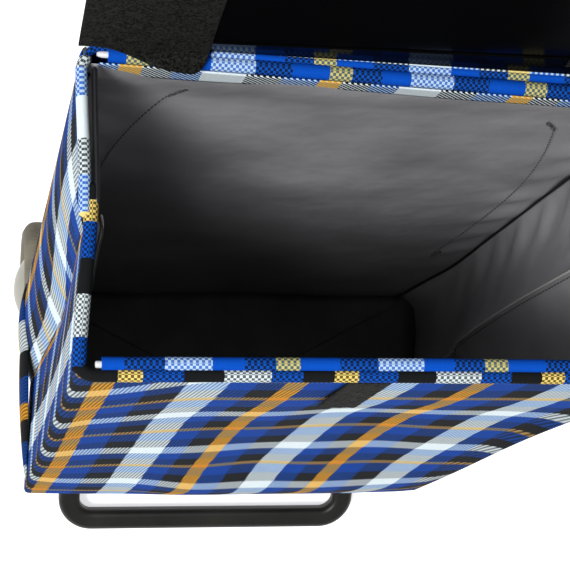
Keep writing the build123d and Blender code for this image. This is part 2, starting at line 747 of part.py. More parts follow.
LINING_BACK = -0.5 - LINING_THICK
LIP_START = LID_LENGTH + 2
across_lid = (-LID_HALF, LID_HALF)
save(lid_piece(across_lid, (3, LID_LENGTH), (LINING_BACK - PANEL_THICK, LINING_BACK), 3),
     "lid_panel")
save(lid_piece(across_lid, (3, LID_LENGTH), (LINING_BACK, -0.5), 3), "lid_lining")
save(lid_piece(across_lid, (LIP_START, LIP_START + LIP_LENGTH),
               (LINING_BACK - PANEL_THICK, LINING_BACK), 12), "lid_lip")
save(lid_piece((PATCH_X - 12.5, PATCH_X + 12.5), (LIP_START + 10, LIP_START + LIP_LENGTH - 10),
               (LINING_BACK, 0), 2), "lip_hook_strip")
for side, sign in SIDES.items():
    edges = sorted((sign * (LID_HALF - 2), sign * (LID_HALF - 2 - WING_WIDTH)))
    save(lid_piece(edges, (4, LID_LENGTH - 4), (0.4, 2.4), 4), f"lid_{side}_wing")
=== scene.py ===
"""Folding shopping trolley: looks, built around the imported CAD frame.

Lengths are in millimetres until build_mesh turns them into Blender's metres.
X runs across the trolley, -Y is the front of the bag, +Z is up.
"""

import json
import math

import bpy
import numpy as np
from mathutils import Matrix, Vector, noise


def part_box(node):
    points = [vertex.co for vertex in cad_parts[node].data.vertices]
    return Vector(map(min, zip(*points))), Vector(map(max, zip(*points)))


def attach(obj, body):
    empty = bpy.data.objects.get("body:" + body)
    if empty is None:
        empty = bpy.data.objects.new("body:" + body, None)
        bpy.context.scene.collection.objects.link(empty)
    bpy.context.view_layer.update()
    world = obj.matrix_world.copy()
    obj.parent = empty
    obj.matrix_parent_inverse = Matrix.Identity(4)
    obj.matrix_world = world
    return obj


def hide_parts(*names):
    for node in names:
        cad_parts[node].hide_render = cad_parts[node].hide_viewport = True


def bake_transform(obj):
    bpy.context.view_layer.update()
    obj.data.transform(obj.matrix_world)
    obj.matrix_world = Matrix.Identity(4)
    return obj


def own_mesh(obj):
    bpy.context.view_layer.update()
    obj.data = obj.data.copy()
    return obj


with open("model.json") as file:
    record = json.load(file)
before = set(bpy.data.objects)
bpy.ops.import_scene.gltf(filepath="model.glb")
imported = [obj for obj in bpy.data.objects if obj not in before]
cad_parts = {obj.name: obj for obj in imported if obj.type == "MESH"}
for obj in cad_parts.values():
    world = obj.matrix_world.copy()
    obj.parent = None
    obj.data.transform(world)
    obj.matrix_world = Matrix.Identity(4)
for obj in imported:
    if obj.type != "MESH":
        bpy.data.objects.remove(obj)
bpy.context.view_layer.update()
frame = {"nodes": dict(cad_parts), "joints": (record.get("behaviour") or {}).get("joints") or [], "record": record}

MM = 0.001


def cad(node):
    """Lowest and highest corner of a CAD node, in millimetres."""
    low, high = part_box(node)
    return np.array(low) / MM, np.array(high) / MM


# ---- sizes taken from the frame ----
FRONT_Y = cad("bag_front_panel")[0][1]
BACK_Y = cad("bag_back_panel")[1][1]
BOTTOM_Z = cad("bag_bottom")[0][2]
RIM_Z = cad("bag_front_hem")[1][2]
HALF_WIDTH = cad("bag_right_side")[1][0]
MIDDLE_Y = (FRONT_Y + BACK_Y) / 2
BAG_HEIGHT = RIM_Z - BOTTOM_Z
SLEEVE_LOW, SLEEVE_HIGH = cad("front_rod_sleeve")
BACK_SLEEVE_LOW, BACK_SLEEVE_HIGH = cad("back_rod_sleeve")
SLEEVE_Z = (SLEEVE_LOW[2] + SLEEVE_HIGH[2]) / 2
JOINTS = {joint["name"]: joint for joint in frame["joints"]}

SIDES = {"left": -1, "right": 1}
CLOTH_THICKNESS = 0.8
LINING_THICKNESS = 0.4
LINING_INSET = 2.6                  # the lining's face, inside the cloth's

# ---- the tartan's sett, along the cloth ----
WARP_PERIOD = 123.5                 # across the cloth: white, blue, black, gold, blue, black
WEFT_PERIOD = 163.5                 # down the cloth, the same stripes on a coarser pick
WARP_ENDS = (0.2186, 0.364, 0.514, 0.627, 0.814, 1.0)
WEFT_ENDS = (0.175, 0.345, 0.53, 0.60, 0.805, 1.0)
WARP_START = -116.6                 # left edge of the first white band left of the middle
WEFT_START = -1.0                   # top edge of the first white row, down from the rim
TWILL_TOOTH = 4.0                   # how far each rib carries a stripe's edge down the cloth
# ribs of the twill, and of the coarse diagonal on the inside of the mouth: pitch, how many times
# faster they climb than they cross, and the warp's share as a wave of that pitch goes up
DIAGONALS = {
    "twill": (3.0, 12.0, (-0.5, 0.5), (0.28, 0.82)),
    "dashes": (3.6, 1.0, (-0.3, 0.0), (0.0, 1.0)),
}
CHECK_SIZE = 1.75                   # squares of the hems' and sleeves' coarse weave
CLOTH_GATHER = 1.12                 # millimetres of cloth in each millimetre of panel
CLOTH_SHIFT = 12.0                  # place on the cloth of the front's middle line

# linear colours of the yarns
YARN_WHITE = (0.63, 0.71, 0.74)
YARN_GOLD = (0.66, 0.31, 0.03)
YARN_TAN = (0.40, 0.25, 0.09)
YARN_PALE_GOLD = (0.78, 0.58, 0.16)
YARN_BLUE = (0.003, 0.048, 0.26)
YARN_BRIGHT_BLUE = (0.004, 0.075, 0.42)
YARN_BLACK = (0.008, 0.009, 0.010)


# ---- camera, lights and floor ----
def add_camera():
    """Camera close above the bag's front left corner, looking down into it."""
    data = bpy.data.cameras.new("camera")
    data.sensor_width = 36
    data.lens = 109.118
    data.clip_end = 50
    camera = bpy.data.objects.new("camera", data)
    camera.location = (-0.2502, -0.28377, 1.67791)
    camera.rotation_euler = [math.radians(a) for a in (12.837, -11.023, -1.565)]
    bpy.context.scene.collection.objects.link(camera)
    bpy.context.scene.camera = camera


def add_area_light(name, place, target, size, power):
    """Square soft light at place, facing target."""
    data = bpy.data.lights.new(name, "AREA")
    data.size = size
    data.energy = power
    light = bpy.data.objects.new(name, data)
    light.location = place
    light.rotation_euler = (Vector(target) - Vector(place)).to_track_quat("-Z", "Y").to_euler()
    bpy.context.scene.collection.objects.link(light)


def add_world(strength):
    """Even white surroundings."""
    world = bpy.data.worlds.new("studio")
    world.use_nodes = True
    background = world.node_tree.nodes["Background"]
    background.inputs["Color"].default_value = (1, 1, 1, 1)
    background.inputs["Strength"].default_value = strength
    bpy.context.scene.world = world


# ---- materials ----
class Shader:
    """A node material with one Principled shader, and short ways to add nodes to it."""

    def __init__(self, name, color, roughness, **sockets):
        self.material = bpy.data.materials.new(name)
        self.material.use_nodes = True
        self.tree = self.material.node_tree
        self.bsdf = self.tree.nodes["Principled BSDF"]
        self.bsdf.inputs["Base Color"].default_value = (*color, 1)
        self.bsdf.inputs["Roughness"].default_value = roughness
        for socket, value in sockets.items():
            self.bsdf.inputs[socket.replace("_", " ")].default_value = value

    def node(self, kind, *values, **settings):
        """A new node with its settings, and a value or a link on each of its first inputs."""
        made = self.tree.nodes.new("ShaderNode" + kind)
        for setting, value in settings.items():
            setattr(made, setting, value)
        for value, socket in zip(values, made.inputs):
            self.plug(value, socket)
        return made

    def plug(self, value, socket):
        """Links an output, or sets a constant, on an input socket."""
        if isinstance(value, bpy.types.NodeSocket):
            self.tree.links.new(value, socket)
        else:
            socket.default_value = value

    def math(self, operation, *values):
        """Result of a Math node."""
        return self.node("Math", *values, operation=operation).outputs[0]

    def mix(self, factor, first, second, kind="MIX"):
        """Colour between first and second, or of another kind of blend."""
        made = self.node("Mix", factor, data_type="RGBA", blend_type=kind)
        for value, socket in ((first, made.inputs[6]), (second, made.inputs[7])):
            self.plug((*value, 1) if isinstance(value, tuple) else value, socket)
        return made.outputs[2]

    def multiply(self, first, second):
        """Product of two colours."""
        return self.mix(1.0, first, second, "MULTIPLY")

    def object_place(self):
        """Position on the piece, in metres in the trolley's frame."""
        return self.node("TexCoord").outputs["Object"]

    def scaled(self, vector, scale):
        """A vector times a scale for each axis."""
        return self.node("VectorMath", vector, scale, operation="MULTIPLY").outputs[0]

    def noise(self, vector, scale, detail=2.0, roughness=0.5):
        """Noise from 0 to 1 at a vector."""
        made = self.node("TexNoise", vector)
        made.inputs["Scale"].default_value = scale
        made.inputs["Detail"].default_value = detail
        made.inputs["Roughness"].default_value = roughness
        return made.outputs["Fac"]

    def ramp(self, value, stops, interpolation="LINEAR"):
        """Colour ramp with (position, colour) stops."""
        made = self.node("ValToRGB", value)
        made.color_ramp.interpolation = interpolation
        elements = made.color_ramp.elements
        while len(elements) < len(stops):
            elements.new(0.5)
        for element, (position, color) in zip(elements, stops):
            element.position = position
            element.color = (*color, 1)
        return made.outputs["Color"]

    def color(self, value):
        """Gives the shader its base colour."""
        self.plug(value, self.bsdf.inputs["Base Color"])

    def roughness(self, low, high, value):
        """Roughness between low and high as value goes from 0 to 1."""
        made = self.node("MapRange", value, 0.0, 1.0, low, high)
        self.plug(made.outputs["Result"], self.bsdf.inputs["Roughness"])

    def bump(self, height, distance, strength=1.0):
        """Adds relief, distance in metres, on top of any relief already there."""
        made = self.node("Bump", strength, distance)
        self.plug(height, made.inputs["Height"])
        links = self.bsdf.inputs["Normal"].links
        if links:
            self.plug(links[0].from_socket, made.inputs["Normal"])
        self.plug(made.outputs["Normal"], self.bsdf.inputs["Normal"])


def tartan(name, weave):
    """Yarn-dyed tartan. The cloth's UV map holds metres across and down the cloth."""
    cloth = Shader(name, YARN_BLUE, 0.85, Specular_IOR_Level=0.03)
    uv = cloth.node("UVMap", uv_map="cloth").outputs["UV"]
    across, down = cloth.node("SeparateXYZ", uv).outputs[:2]
    # threads aren't quite straight
    wander = cloth.math("MULTIPLY", cloth.noise(uv, 30.0), 0.0012)
    warp_place = cloth.math("ADD", across, wander)
    weft_place = cloth.math("ADD", down, wander)

    # mask: how much of the warp shows at each point, and how much of the weft
    if weave == "checks":
        gold, blue, relief = YARN_PALE_GOLD, YARN_BRIGHT_BLUE, 0.0001
        squares = cloth.node("TexChecker", uv)
        squares.inputs["Scale"].default_value = 1 / (CHECK_SIZE * MM)
        mask = cloth.math("MULTIPLY_ADD", squares.outputs["Fac"], 0.8, 0.12)
    else:
        gold, blue, relief = YARN_GOLD, YARN_BLUE, 0.0002
        pitch, steepness, wave_range, mask_range = DIAGONALS[weave]
        climb = cloth.math("DIVIDE", down, steepness)
        rib = cloth.math("DIVIDE", cloth.math("ADD", across, climb), pitch * MM)
        wave = cloth.math("SINE", cloth.math("MULTIPLY", rib, 2 * math.pi))
        mask = cloth.node("MapRange", wave, *wave_range, *mask_range,
                          interpolation_type="SMOOTHSTEP").outputs["Result"]
    if weave == "twill":
        tooth = cloth.math("FRACT", rib)
        weft_place = cloth.math("MULTIPLY_ADD", tooth, TWILL_TOOTH * MM, weft_place)
        warp_place = cloth.math("MULTIPLY_ADD", tooth, 0.2 * TWILL_TOOTH * MM, warp_place)

    def phase(place, start, period):
        """Share of the sett passed at a place."""
        moved = cloth.math("SUBTRACT", place, start * MM)
        return cloth.math("FRACT", cloth.math("DIVIDE", moved, period * MM))

    def stripes(at, ends, colors):
        """The sett's six stripes in these colours."""
        return cloth.ramp(at, list(zip((0.0, *ends), colors)), "CONSTANT")

    warp_at = phase(warp_place, WARP_START, WARP_PERIOD)
    weft_at = phase(weft_place, WEFT_START, WEFT_PERIOD)
    # each yarn also takes on some colour from the yarns that it crosses
    plain, warm, cool = (1.0, 1.0, 1.0), (1.0, 0.72, 0.30), (0.72, 0.86, 1.0)
    casts = (plain, cool, plain, warm, cool, plain)
    warp_yarns = (YARN_WHITE, blue, YARN_BLACK, gold, blue, YARN_BLACK)
    weft_yarns = (YARN_WHITE, blue, YARN_BLACK, YARN_TAN, blue, YARN_BLACK)
    warp = cloth.multiply(stripes(warp_at, WARP_ENDS, warp_yarns), stripes(weft_at, WEFT_ENDS, casts))
    weft = cloth.multiply(stripes(weft_at, WEFT_ENDS, weft_yarns), stripes(warp_at, WARP_ENDS, casts))
    # single yarns, seen close to
    shade = 0.78
    for scale in ((1600, 60, 1), (60, 1600, 1)):
        shade = cloth.math("MULTIPLY_ADD", cloth.noise(cloth.scaled(uv, scale), 1.0, 1.0), 0.22, shade)
    grey = cloth.node("CombineColor", shade, shade, shade).outputs[0]
    cloth.color(cloth.multiply(cloth.mix(mask, weft, warp), grey))
    cloth.bump(mask, relief, 0.6)
    cloth.bump(shade, 0.0002, 0.3)
    return cloth.material


def lining_material():
    """Black coated nylon with a dull shine and fine creases; its mid-grey colour, lighter where it swells, is
    painted sheen.
    """
    # painted sheen: a grey base colour stands in for the black nylon's shine
    skin = Shader("black_lining", (0.20, 0.197, 0.21), 0.4)
    place = skin.object_place()
    creases = skin.noise(place, 38.0, 4.0, 0.6)
    grain = skin.noise(place, 900.0, 1.0)
    swells = skin.noise(place, 11.0, 3.0, 0.55)
    # painted sheen: the black nylon is coloured mid-grey, and lighter still where it swells
    tone = skin.math("MULTIPLY_ADD", swells, 1.3, -0.15)
    skin.color(skin.mix(tone, (0.19, 0.188, 0.20), (0.45, 0.445, 0.46)))
    skin.roughness(0.34, 0.52, creases)
    skin.bump(swells, 0.009, 0.4)
    skin.bump(creases, 0.0015, 0.3)
    skin.bump(grain, 0.0002, 0.25)
    return skin.material


def gloss_lining_material():
    """The lid's lining, pulled flat and shinier."""
    skin = Shader("lid_lining_gloss", (0.0012, 0.0012, 0.0015), 0.12,
                  Specular_IOR_Level=0.035)
    place = skin.object_place()
    waves = skin.noise(place, 14.0, 2.0)
    grain = skin.noise(place, 900.0, 1.0)
    skin.roughness(0.12, 0.22, waves)
    skin.bump(waves, 0.002, 0.3)
    skin.bump(grain, 0.0001, 0.2)
    return skin.material


def velour_material():
    """Brushed loop fabric: deep black with a soft, mottled nap."""
    pile = Shader("black_velour", (0.004, 0.004, 0.004), 0.95, Sheen_Weight=0.012,
                  Sheen_Roughness=0.5, Specular_IOR_Level=0.05)
    place = pile.object_place()
    nap = pile.noise(place, 160.0, 3.0, 0.7)
    loops = pile.noise(place, 650.0, 2.0)
    tone = pile.math("MULTIPLY_ADD", nap, 0.3, pile.math("MULTIPLY", loops, 0.7))
    pile.color(pile.ramp(tone, [(0.38, (0.0015, 0.0015, 0.0015)), (0.68, (0.020, 0.020, 0.018))]))
    pile.bump(nap, 0.0008, 0.5)
    pile.bump(loops, 0.0004, 0.8)
    return pile.material


def painted_tube_material():
    """Satin black powder coat with a faint orange peel and dust."""
    paint = Shader("black_tube", (0.008, 0.008, 0.006), 0.34, Specular_IOR_Level=0.3)
    place = paint.object_place()
    dust = paint.noise(place, 22.0, 4.0, 0.6)
    peel = paint.noise(place, 900.0, 1.0)
    paint.color(paint.ramp(dust, [(0.4, (0.006, 0.006, 0.005)), (0.8, (0.014, 0.0135, 0.010))]))
    paint.roughness(0.30, 0.5, dust)
    paint.bump(peel, 0.00008, 0.5)
    return paint.material


def moulded_material(name, color, roughness, worn):
    """Moulded plastic or rubber: fine grain, and a tone that drifts from color to worn."""
    plastic = Shader(name, color, roughness)
    place = plastic.object_place()
    drift = plastic.noise(place, 30.0, 4.0, 0.6)
    grain = plastic.noise(place, 1400.0, 2.0)
    plastic.color(plastic.ramp(drift, [(0.35, color), (0.75, worn)]))
    plastic.roughness(roughness - 0.08, roughness + 0.08, drift)
    plastic.bump(grain, 0.00012, 0.4)
    return plastic.material


def steel_material():
    """Zinc-plated steel with fine turning marks."""
    steel = Shader("zinc_steel", (0.55, 0.55, 0.57), 0.3, Metallic=1.0)
    place = steel.object_place()
    marks = steel.noise(steel.scaled(place, (40, 900, 900)), 1.0, 2.0)
    steel.roughness(0.22, 0.42, marks)
    steel.bump(marks, 0.00005, 0.4)
    return steel.material


def thread_material(name, color):
    """Sewing thread: a twist along each stitch."""
    thread = Shader(name, color, 0.6, Sheen_Weight=0.3)
    twist = thread.noise(thread.scaled(thread.object_place(), (900, 900, 2600)), 1.0, 1.0)
    thread.bump(twist, 0.0002, 0.6)
    return thread.material


# name: (colour, roughness, worn colour)
MOULDED = {
    "lining_edge": ((0.006, 0.006, 0.007), 0.35, (0.012, 0.012, 0.013)),
    "black_plastic": ((0.018, 0.018, 0.018), 0.5, (0.035, 0.034, 0.032)),
    "grey_plastic": ((0.11, 0.11, 0.115), 0.4, (0.16, 0.16, 0.16)),
    "soft_grip": ((0.012, 0.012, 0.012), 0.75, (0.025, 0.025, 0.024)),
    "tyre_rubber": ((0.105, 0.092, 0.062), 0.7, (0.19, 0.17, 0.125)),
    "wheel_plastic": ((0.24, 0.23, 0.19), 0.45, (0.30, 0.29, 0.25)),
    "hub_cap_plastic": ((0.27, 0.26, 0.21), 0.35, (0.34, 0.33, 0.28)),
    "rod_plastic": ((0.62, 0.63, 0.64), 0.3, (0.75, 0.76, 0.78)),
    "board_plastic": ((0.03, 0.036, 0.029), 0.6, (0.065, 0.07, 0.06)),
}
# by the record's material slot, or by a name of their own for what varies within a slot
MATERIALS = {
    "tartan_cloth": tartan("tartan_twill", "twill"),
    "checks": tartan("tartan_checks", "checks"),
    "dashes": tartan("tartan_dashes", "dashes"),
    "black_lining": lining_material(),
    "gloss_lining": gloss_lining_material(),
    "black_velour": velour_material(),
    "black_tube": painted_tube_material(),
    "zinc_steel": steel_material(),
    "dark_thread": thread_material("dark_thread", (0.008, 0.008, 0.009)),
    # pale thread for the cord on the lining's fold: its colour is a painted highlight of the crease
    "crease_highlight_thread": thread_material("crease_highlight_thread", (0.42, 0.41, 0.38)),
}
for moulded, look in MOULDED.items():
    MATERIALS[moulded] = moulded_material(moulded, *look)


# ---- mesh helpers ----
def smooth(low, high, value):
    """0 below low, 1 above high, and a smooth step between."""
    t = np.clip((value - low) / (high - low), 0, 1)
    return t * t * (3 - 2 * t)


def bell(value, centre, width):
    """Smooth bump of height 1."""
    return np.exp(-(((value - centre) / width) ** 2))


def ripple(points, wavelength, offset=0.0):
    """Smooth noise, about -1 to 1, at points with that wavelength."""
    flat = np.asarray(points, float).reshape(-1, 3) / wavelength + offset
    values = np.array([noise.noise(Vector(p)) for p in flat])
    return values.reshape(np.shape(points)[:-1])


def path_lengths(path):
    """Distance along a path at each of its points."""
    steps = np.linalg.norm(np.diff(path, axis=0), axis=1)
    return np.concatenate([[0], np.cumsum(steps)])


def build_mesh(name, points, faces, material=None, uvs=None):
    """Object from points in millimetres, faces, a material, and one UV for each point."""
    data = bpy.data.meshes.new(name)
    points = np.asarray(points, float).reshape(-1, 3)
    data.from_pydata([tuple(p) for p in points * MM], [], faces)
    data.polygons.foreach_set("use_smooth", [True] * len(data.polygons))
    if uvs is not None:
        layer = data.uv_layers.new(name="cloth")
        spots = np.asarray(uvs, float).reshape(-1, 2) * MM
        corner_points = np.zeros(len(data.loops), int)
        data.loops.foreach_get("vertex_index", corner_points)
        layer.data.foreach_set("uv", spots[corner_points].ravel())
    data.update()
    made = bpy.data.objects.new(name, data)
    bpy.context.scene.collection.objects.link(made)
    if material:
        data.materials.append(MATERIALS[material])
    return made


def bridge(first, second, count, close=True):
    """Quads between two rows of count points, given the number of each row's first point."""
    faces = []
    for k in range(count if close else count - 1):
        beside = (k + 1) % count
        faces.append((first + k, first + beside, second + beside, second + k))
    return faces


def grid_faces(rows, columns, close_columns=False, start=0, flip=False):
    """Quads of a grid of points kept row by row."""
    faces = []
    for row in range(rows - 1):
        first = start + row * columns
        faces.extend(bridge(first, first + columns, columns, close_columns))
    return [quad[::-1] for quad in faces] if flip else faces


def grid_sheet(name, points, uvs, material, thickness, flip=False):
    """Sheet from a grid of points (rows x columns x 3), thickened on its back."""
    made = build_mesh(name, points, grid_faces(*points.shape[:2], flip=flip), material, uvs)
    thicken(made, thickness)
    return made


def thicken(piece, thickness):
    """Gives a sheet its thickness, away from its face side."""
    solid = piece.modifiers.new("thickness", "SOLIDIFY")
    solid.thickness = thickness * MM
    solid.offset = -1
    apply_modifiers(piece)


def apply_modifiers(piece):
    """Turns the piece's modifiers into plain mesh."""
    bpy.context.view_layer.update()
    graph = bpy.context.evaluated_depsgraph_get()
    result = bpy.data.meshes.new_from_object(piece.evaluated_get(graph))
    piece.modifiers.clear()
    old = piece.data
    piece.data = result
    result.name = old.name
    bpy.data.meshes.remove(old)


def swept(name, path, sections, material, uvs=None):
    """Tube along a path: at each of its points a closed section, given as (sideways, up) points."""
    path = np.asarray(path, float)
    tangent = np.gradient(path, axis=0)
    side = np.cross(tangent, (0, 0, 1.0))
    side /= np.linalg.norm(side, axis=1, keepdims=True)
    points = path[:, None, :] + side[:, None, :] * sections[:, :, :1]
    points = points + np.array([0, 0, 1.0]) * sections[:, :, 1:]
    rows, around = points.shape[:2]
    # the seam's points are doubled, so that its UVs meet cleanly
    points = np.concatenate([points, points[:, :1]], axis=1)
    faces = grid_faces(rows, around + 1, flip=True)
    faces.append(tuple(range(around)))
    faces.append(tuple((rows - 1) * (around + 1) + k for k in reversed(range(around))))
    if uvs is None:
        uvs = np.zeros((rows, around + 1, 2))
    made = build_mesh(name, points, faces, material, uvs)
    weld(made)
    return made


def weld(piece, distance=0.01):
    """Joins points that lie on each other, keeping each corner's UV."""
    step = piece.modifiers.new("weld", "WELD")
    step.merge_threshold = distance * MM
    apply_modifiers(piece)


def swept_cord(name, path, radius, material, capped=True):
    """Thin round cord along a path of points that rises."""
    around = 8
    angle = np.linspace(0, 2 * np.pi, around, endpoint=False)
    points = [spot + radius * np.array([np.cos(a), np.sin(a), 0]) for spot in path for a in angle]
    faces = grid_faces(len(path), around, close_columns=True)
    if capped:
        last = (len(path) - 1) * around
        faces.append(tuple(reversed(range(around))))
        faces.append(tuple(last + k for k in range(around)))
    return build_mesh(name, points, faces, material)


def ride(piece, body, *nodes):
    """The piece moves with a body, and stands for these CAD nodes."""
    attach(piece, body)
    if nodes:
        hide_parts(*nodes)


def on_bag(piece, *nodes):
    """The piece rides on the frame, on a mesh of its own."""
    ride(piece, "frame", *nodes)
    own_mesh(piece)


# ---- the bag's walls ----
CREASE_Y = MIDDLE_Y + 3             # fold line down the middle of each side
HIDDEN_AT_RIM = 17.0                # cloth tucked out of sight behind it, at the rim
HIDDEN_BELOW = 36.0                 # and how much more of it lower down
PINCH_Z = 530.0                     # height where the front is drawn in most
BELLY_Z = 222.0                     # height where it is fullest
SIDE_PINCH_Z = 450.0                # height where the side creases are deepest
WALL_STEPS = {"right": 44, "front": 70, "left": 44, "back": 60}     # points along each wall
CORNER_STEPS = 7                    # and round each corner
WALL_LEVELS = 110                   # rings of them from bottom to rim


def rise(z):
    """0 at the bag's bottom, 1 at its rim."""
    return (z - BOTTOM_Z) / BAG_HEIGHT


FRONT_CORNERS = {"left": 0, "right": 1}     # places in bag_corners
BACK_CORNERS = {"left": 3, "right": 2}


def bag_corners(z):
    """The four corners at a height: front left, front right, back right, back left."""
    t = rise(z)
    drawn_in = 9.0 * bell(t, 0.62, 0.3) + 4.0 * smooth(0.7, 1.0, t)
    return np.array([
        (-HALF_WIDTH, FRONT_Y + 1.0 * t),
        (HALF_WIDTH - drawn_in, FRONT_Y + 1.0 * t),
        (HALF_WIDTH + 4.0 + 4.0 * t, back_rim_y(HALF_WIDTH, t)),
        (-HALF_WIDTH + 3.0 * t, back_rim_y(-HALF_WIDTH, t)),
    ])


def back_rim_y(x, t):
    """Outer face of the back panel: the mouth is skewed, its right end further forward."""
    return BACK_Y - 1.0 + t * (0.5 - 0.03 * x)


def front_relief(x, z):
    """How far the front panel stands out from its plane: drawn in half way up, full lower down."""
    held = np.clip(1 - (x / HALF_WIDTH) ** 2, 0, 1) ** 0.6
    reach = np.where(z > PINCH_Z, 95.0, 130 + 65 * smooth(-60, 0, x))
    drawn_in = bell(z, PINCH_Z, reach) * (6.0 + 2.7 * smooth(-50, 10, x))
    full = bell(z, BELLY_Z, 80) * (4.0 + 5.0 * smooth(-110, -40, x))
    waves = 0.8 * np.sin(x / 17.0 + z / 60.0) * bell(z, 400, 200)
    return (full - drawn_in + waves) * held


def side_relief(y, z):
    """How far a side panel stands out: creased in at mid-depth, fuller behind the crease."""
    depth = 5.0 + 10.0 * bell(z, SIDE_PINCH_Z, 200)
    behind = np.clip((y - CREASE_Y) / (BACK_Y - CREASE_Y), 0, 1)
    before = np.clip((CREASE_Y - y) / (CREASE_Y - FRONT_Y), 0, 1)
    tuck = np.where(y >= CREASE_Y, (1 - behind) ** 2.6, 0.8 * (1 - before) ** 1.25)
    fullness = 3.5 * np.sin(np.pi * behind) * smooth(RIM_Z, RIM_Z - 120, z)
    return fullness - depth * tuck


def back_relief(x, z):
    """The back panel is nearly flat, with shallow puckers."""
    held = np.clip(1 - (x / HALF_WIDTH) ** 2, 0, 1)
    return held * (1.2 * np.sin(x / 40 + z / 130) - 1.0 * bell(z, 420, 160))


def bag_ring(z, inset):
    """Points round the bag at a height, from the back right corner by way of the front."""
    front_left, front_right, back_right, back_left = bag_corners(z)
    order = [
        ("right", back_right, front_right, (1, 0)),
        ("front", front_right, front_left, (0, -1)),
        ("left", front_left, back_left, (-1, 0)),
        ("back", back_left, back_right, (0, 1)),
    ]
    t = rise(z)
    radius = 2.5 if inset > 1 else 3.5 + 5.0 * bell(t, 0.45, 0.4)
    points, normals = [], []
    for k, (wall, start, end, normal) in enumerate(order):
        length = np.linalg.norm(end - start)
        share = np.linspace(radius / length, 1 - radius / length, WALL_STEPS[wall])[:, None]
        line = start + (end - start) * share
        if wall == "front":
            relief = front_relief(line[:, 0], z)
        elif wall == "back":
            relief = back_relief(line[:, 0], z)
        else:
            relief = side_relief(line[:, 1], z)
        ease = smooth(0, 0.06, share[:, 0]) * smooth(1, 0.94, share[:, 0])
        points.append(line + np.array(normal) * (relief * ease - inset)[:, None])
        normals.append(np.tile(normal, (len(line), 1)).astype(float))
        # round the corner to the next wall
        next_normal = np.array(order[(k + 1) % 4][3], float)
        next_end = order[(k + 1) % 4][2]
        heading = (next_end - end) / np.linalg.norm(next_end - end)
        before = end - (end - start) / length * radius
        after = end + heading * radius
        turn = np.linspace(0, 1, CORNER_STEPS + 2)[1:-1, None]
        arc = (1 - turn) ** 2 * before + 2 * turn * (1 - turn) * end + turn**2 * after
        normal_here = (1 - turn) * np.array(normal, float) + turn * next_normal
        normal_here /= np.linalg.norm(normal_here, axis=1, keepdims=True)
        points.append(arc - normal_here * inset)
        normals.append(normal_here)
    return np.concatenate(points), np.concatenate(normals)


def panel_across(x, z):
    """Place on the cloth of a point of the front panel."""
    flare = 6.0 * smooth(-90, -170, x) * smooth(400, 150, z)
    eased = 14.0 * smooth(140, 175, x)
    return x * CLOTH_GATHER + CLOTH_SHIFT + flare - eased


def cloth_down(across, z):
    """Distance down the cloth: the rows sag towards the front left corner and the left side."""
    down = RIM_Z - z
    return down - 92.0 * smooth(-95, -190, across) * np.exp(-down / 170.0)


def wall_uvs(ring, z):
    """Where each point of a ring lies on the cloth."""
    along = path_lengths(ring)
    first = WALL_STEPS["right"] + CORNER_STEPS
    last = first + WALL_STEPS["front"] - 1
    across = panel_across(ring[:, 0], z)
    # the cloth goes on round the front corners
    right, left = np.arange(len(ring)) < first, np.arange(len(ring)) > last
    across[right] = across[first] + (along[first] - along[right]) * CLOTH_GATHER
    across[left] = across[last] - (along[left] - along[last]) * CLOTH_GATHER
    # some cloth is out of sight inside the fold
    behind = smooth(CREASE_Y - 1.5, CREASE_Y + 2.5, ring[:, 1])
    hidden = HIDDEN_AT_RIM + HIDDEN_BELOW * smooth(RIM_Z - 50, 250, z)
    across -= np.where(left, hidden * behind, 0)
    return np.stack([across, cloth_down(across, z)], axis=1)


def back_gap(z):
    """How far the lining hangs clear of the back wall, below its sleeve."""
    return 6.5 * smooth(RIM_Z - 75, RIM_Z - 18, z)


def corner_tuck(z):
    """How far the lining's back corners are tucked in above the floor."""
    return 14.0 * smooth(300, 140, z)


def hang_lining(ring, normal, z):
    """Moves a ring of lining: sewn to the back sleeve, ridged at the side folds, tucked below."""
    back = np.clip(normal[:, 1], 0, 1)
    sides = np.abs(normal[:, 0])
    ring = ring - normal * (back_gap(z) * back)[:, None]
    ridge = 6.0 * np.exp(-np.abs(ring[:, 1] - CREASE_Y) / 9.0) * smooth(RIM_Z, RIM_Z - 60, z)
    ring = ring - normal * (ridge * sides)[:, None]
    near = bell(np.abs(ring[:, 0]), HALF_WIDTH, 9) * bell(ring[:, 1], BACK_Y, 9)
    ring[:, 0] -= np.sign(ring[:, 0]) * near * corner_tuck(z)
    return ring


def corner_puckers(ring, z):
    """Short slanting puckers beside the lining's two back corners."""
    gaps = [np.linalg.norm(ring - corner, axis=1) for corner in bag_corners(z)[2:]]
    gap = np.min(gaps, axis=0)
    return 1.9 * bell(gap, 22, 13) * np.sin((z + 0.9 * gap) / 9.0) * bell(z, 480, 190)


# slanting creases: noise stretched along a turned axis
CREASE_TURN = np.array(Matrix.Rotation(math.radians(35), 3, "Y")) @ np.diag([1.0, 1.0, 0.35])


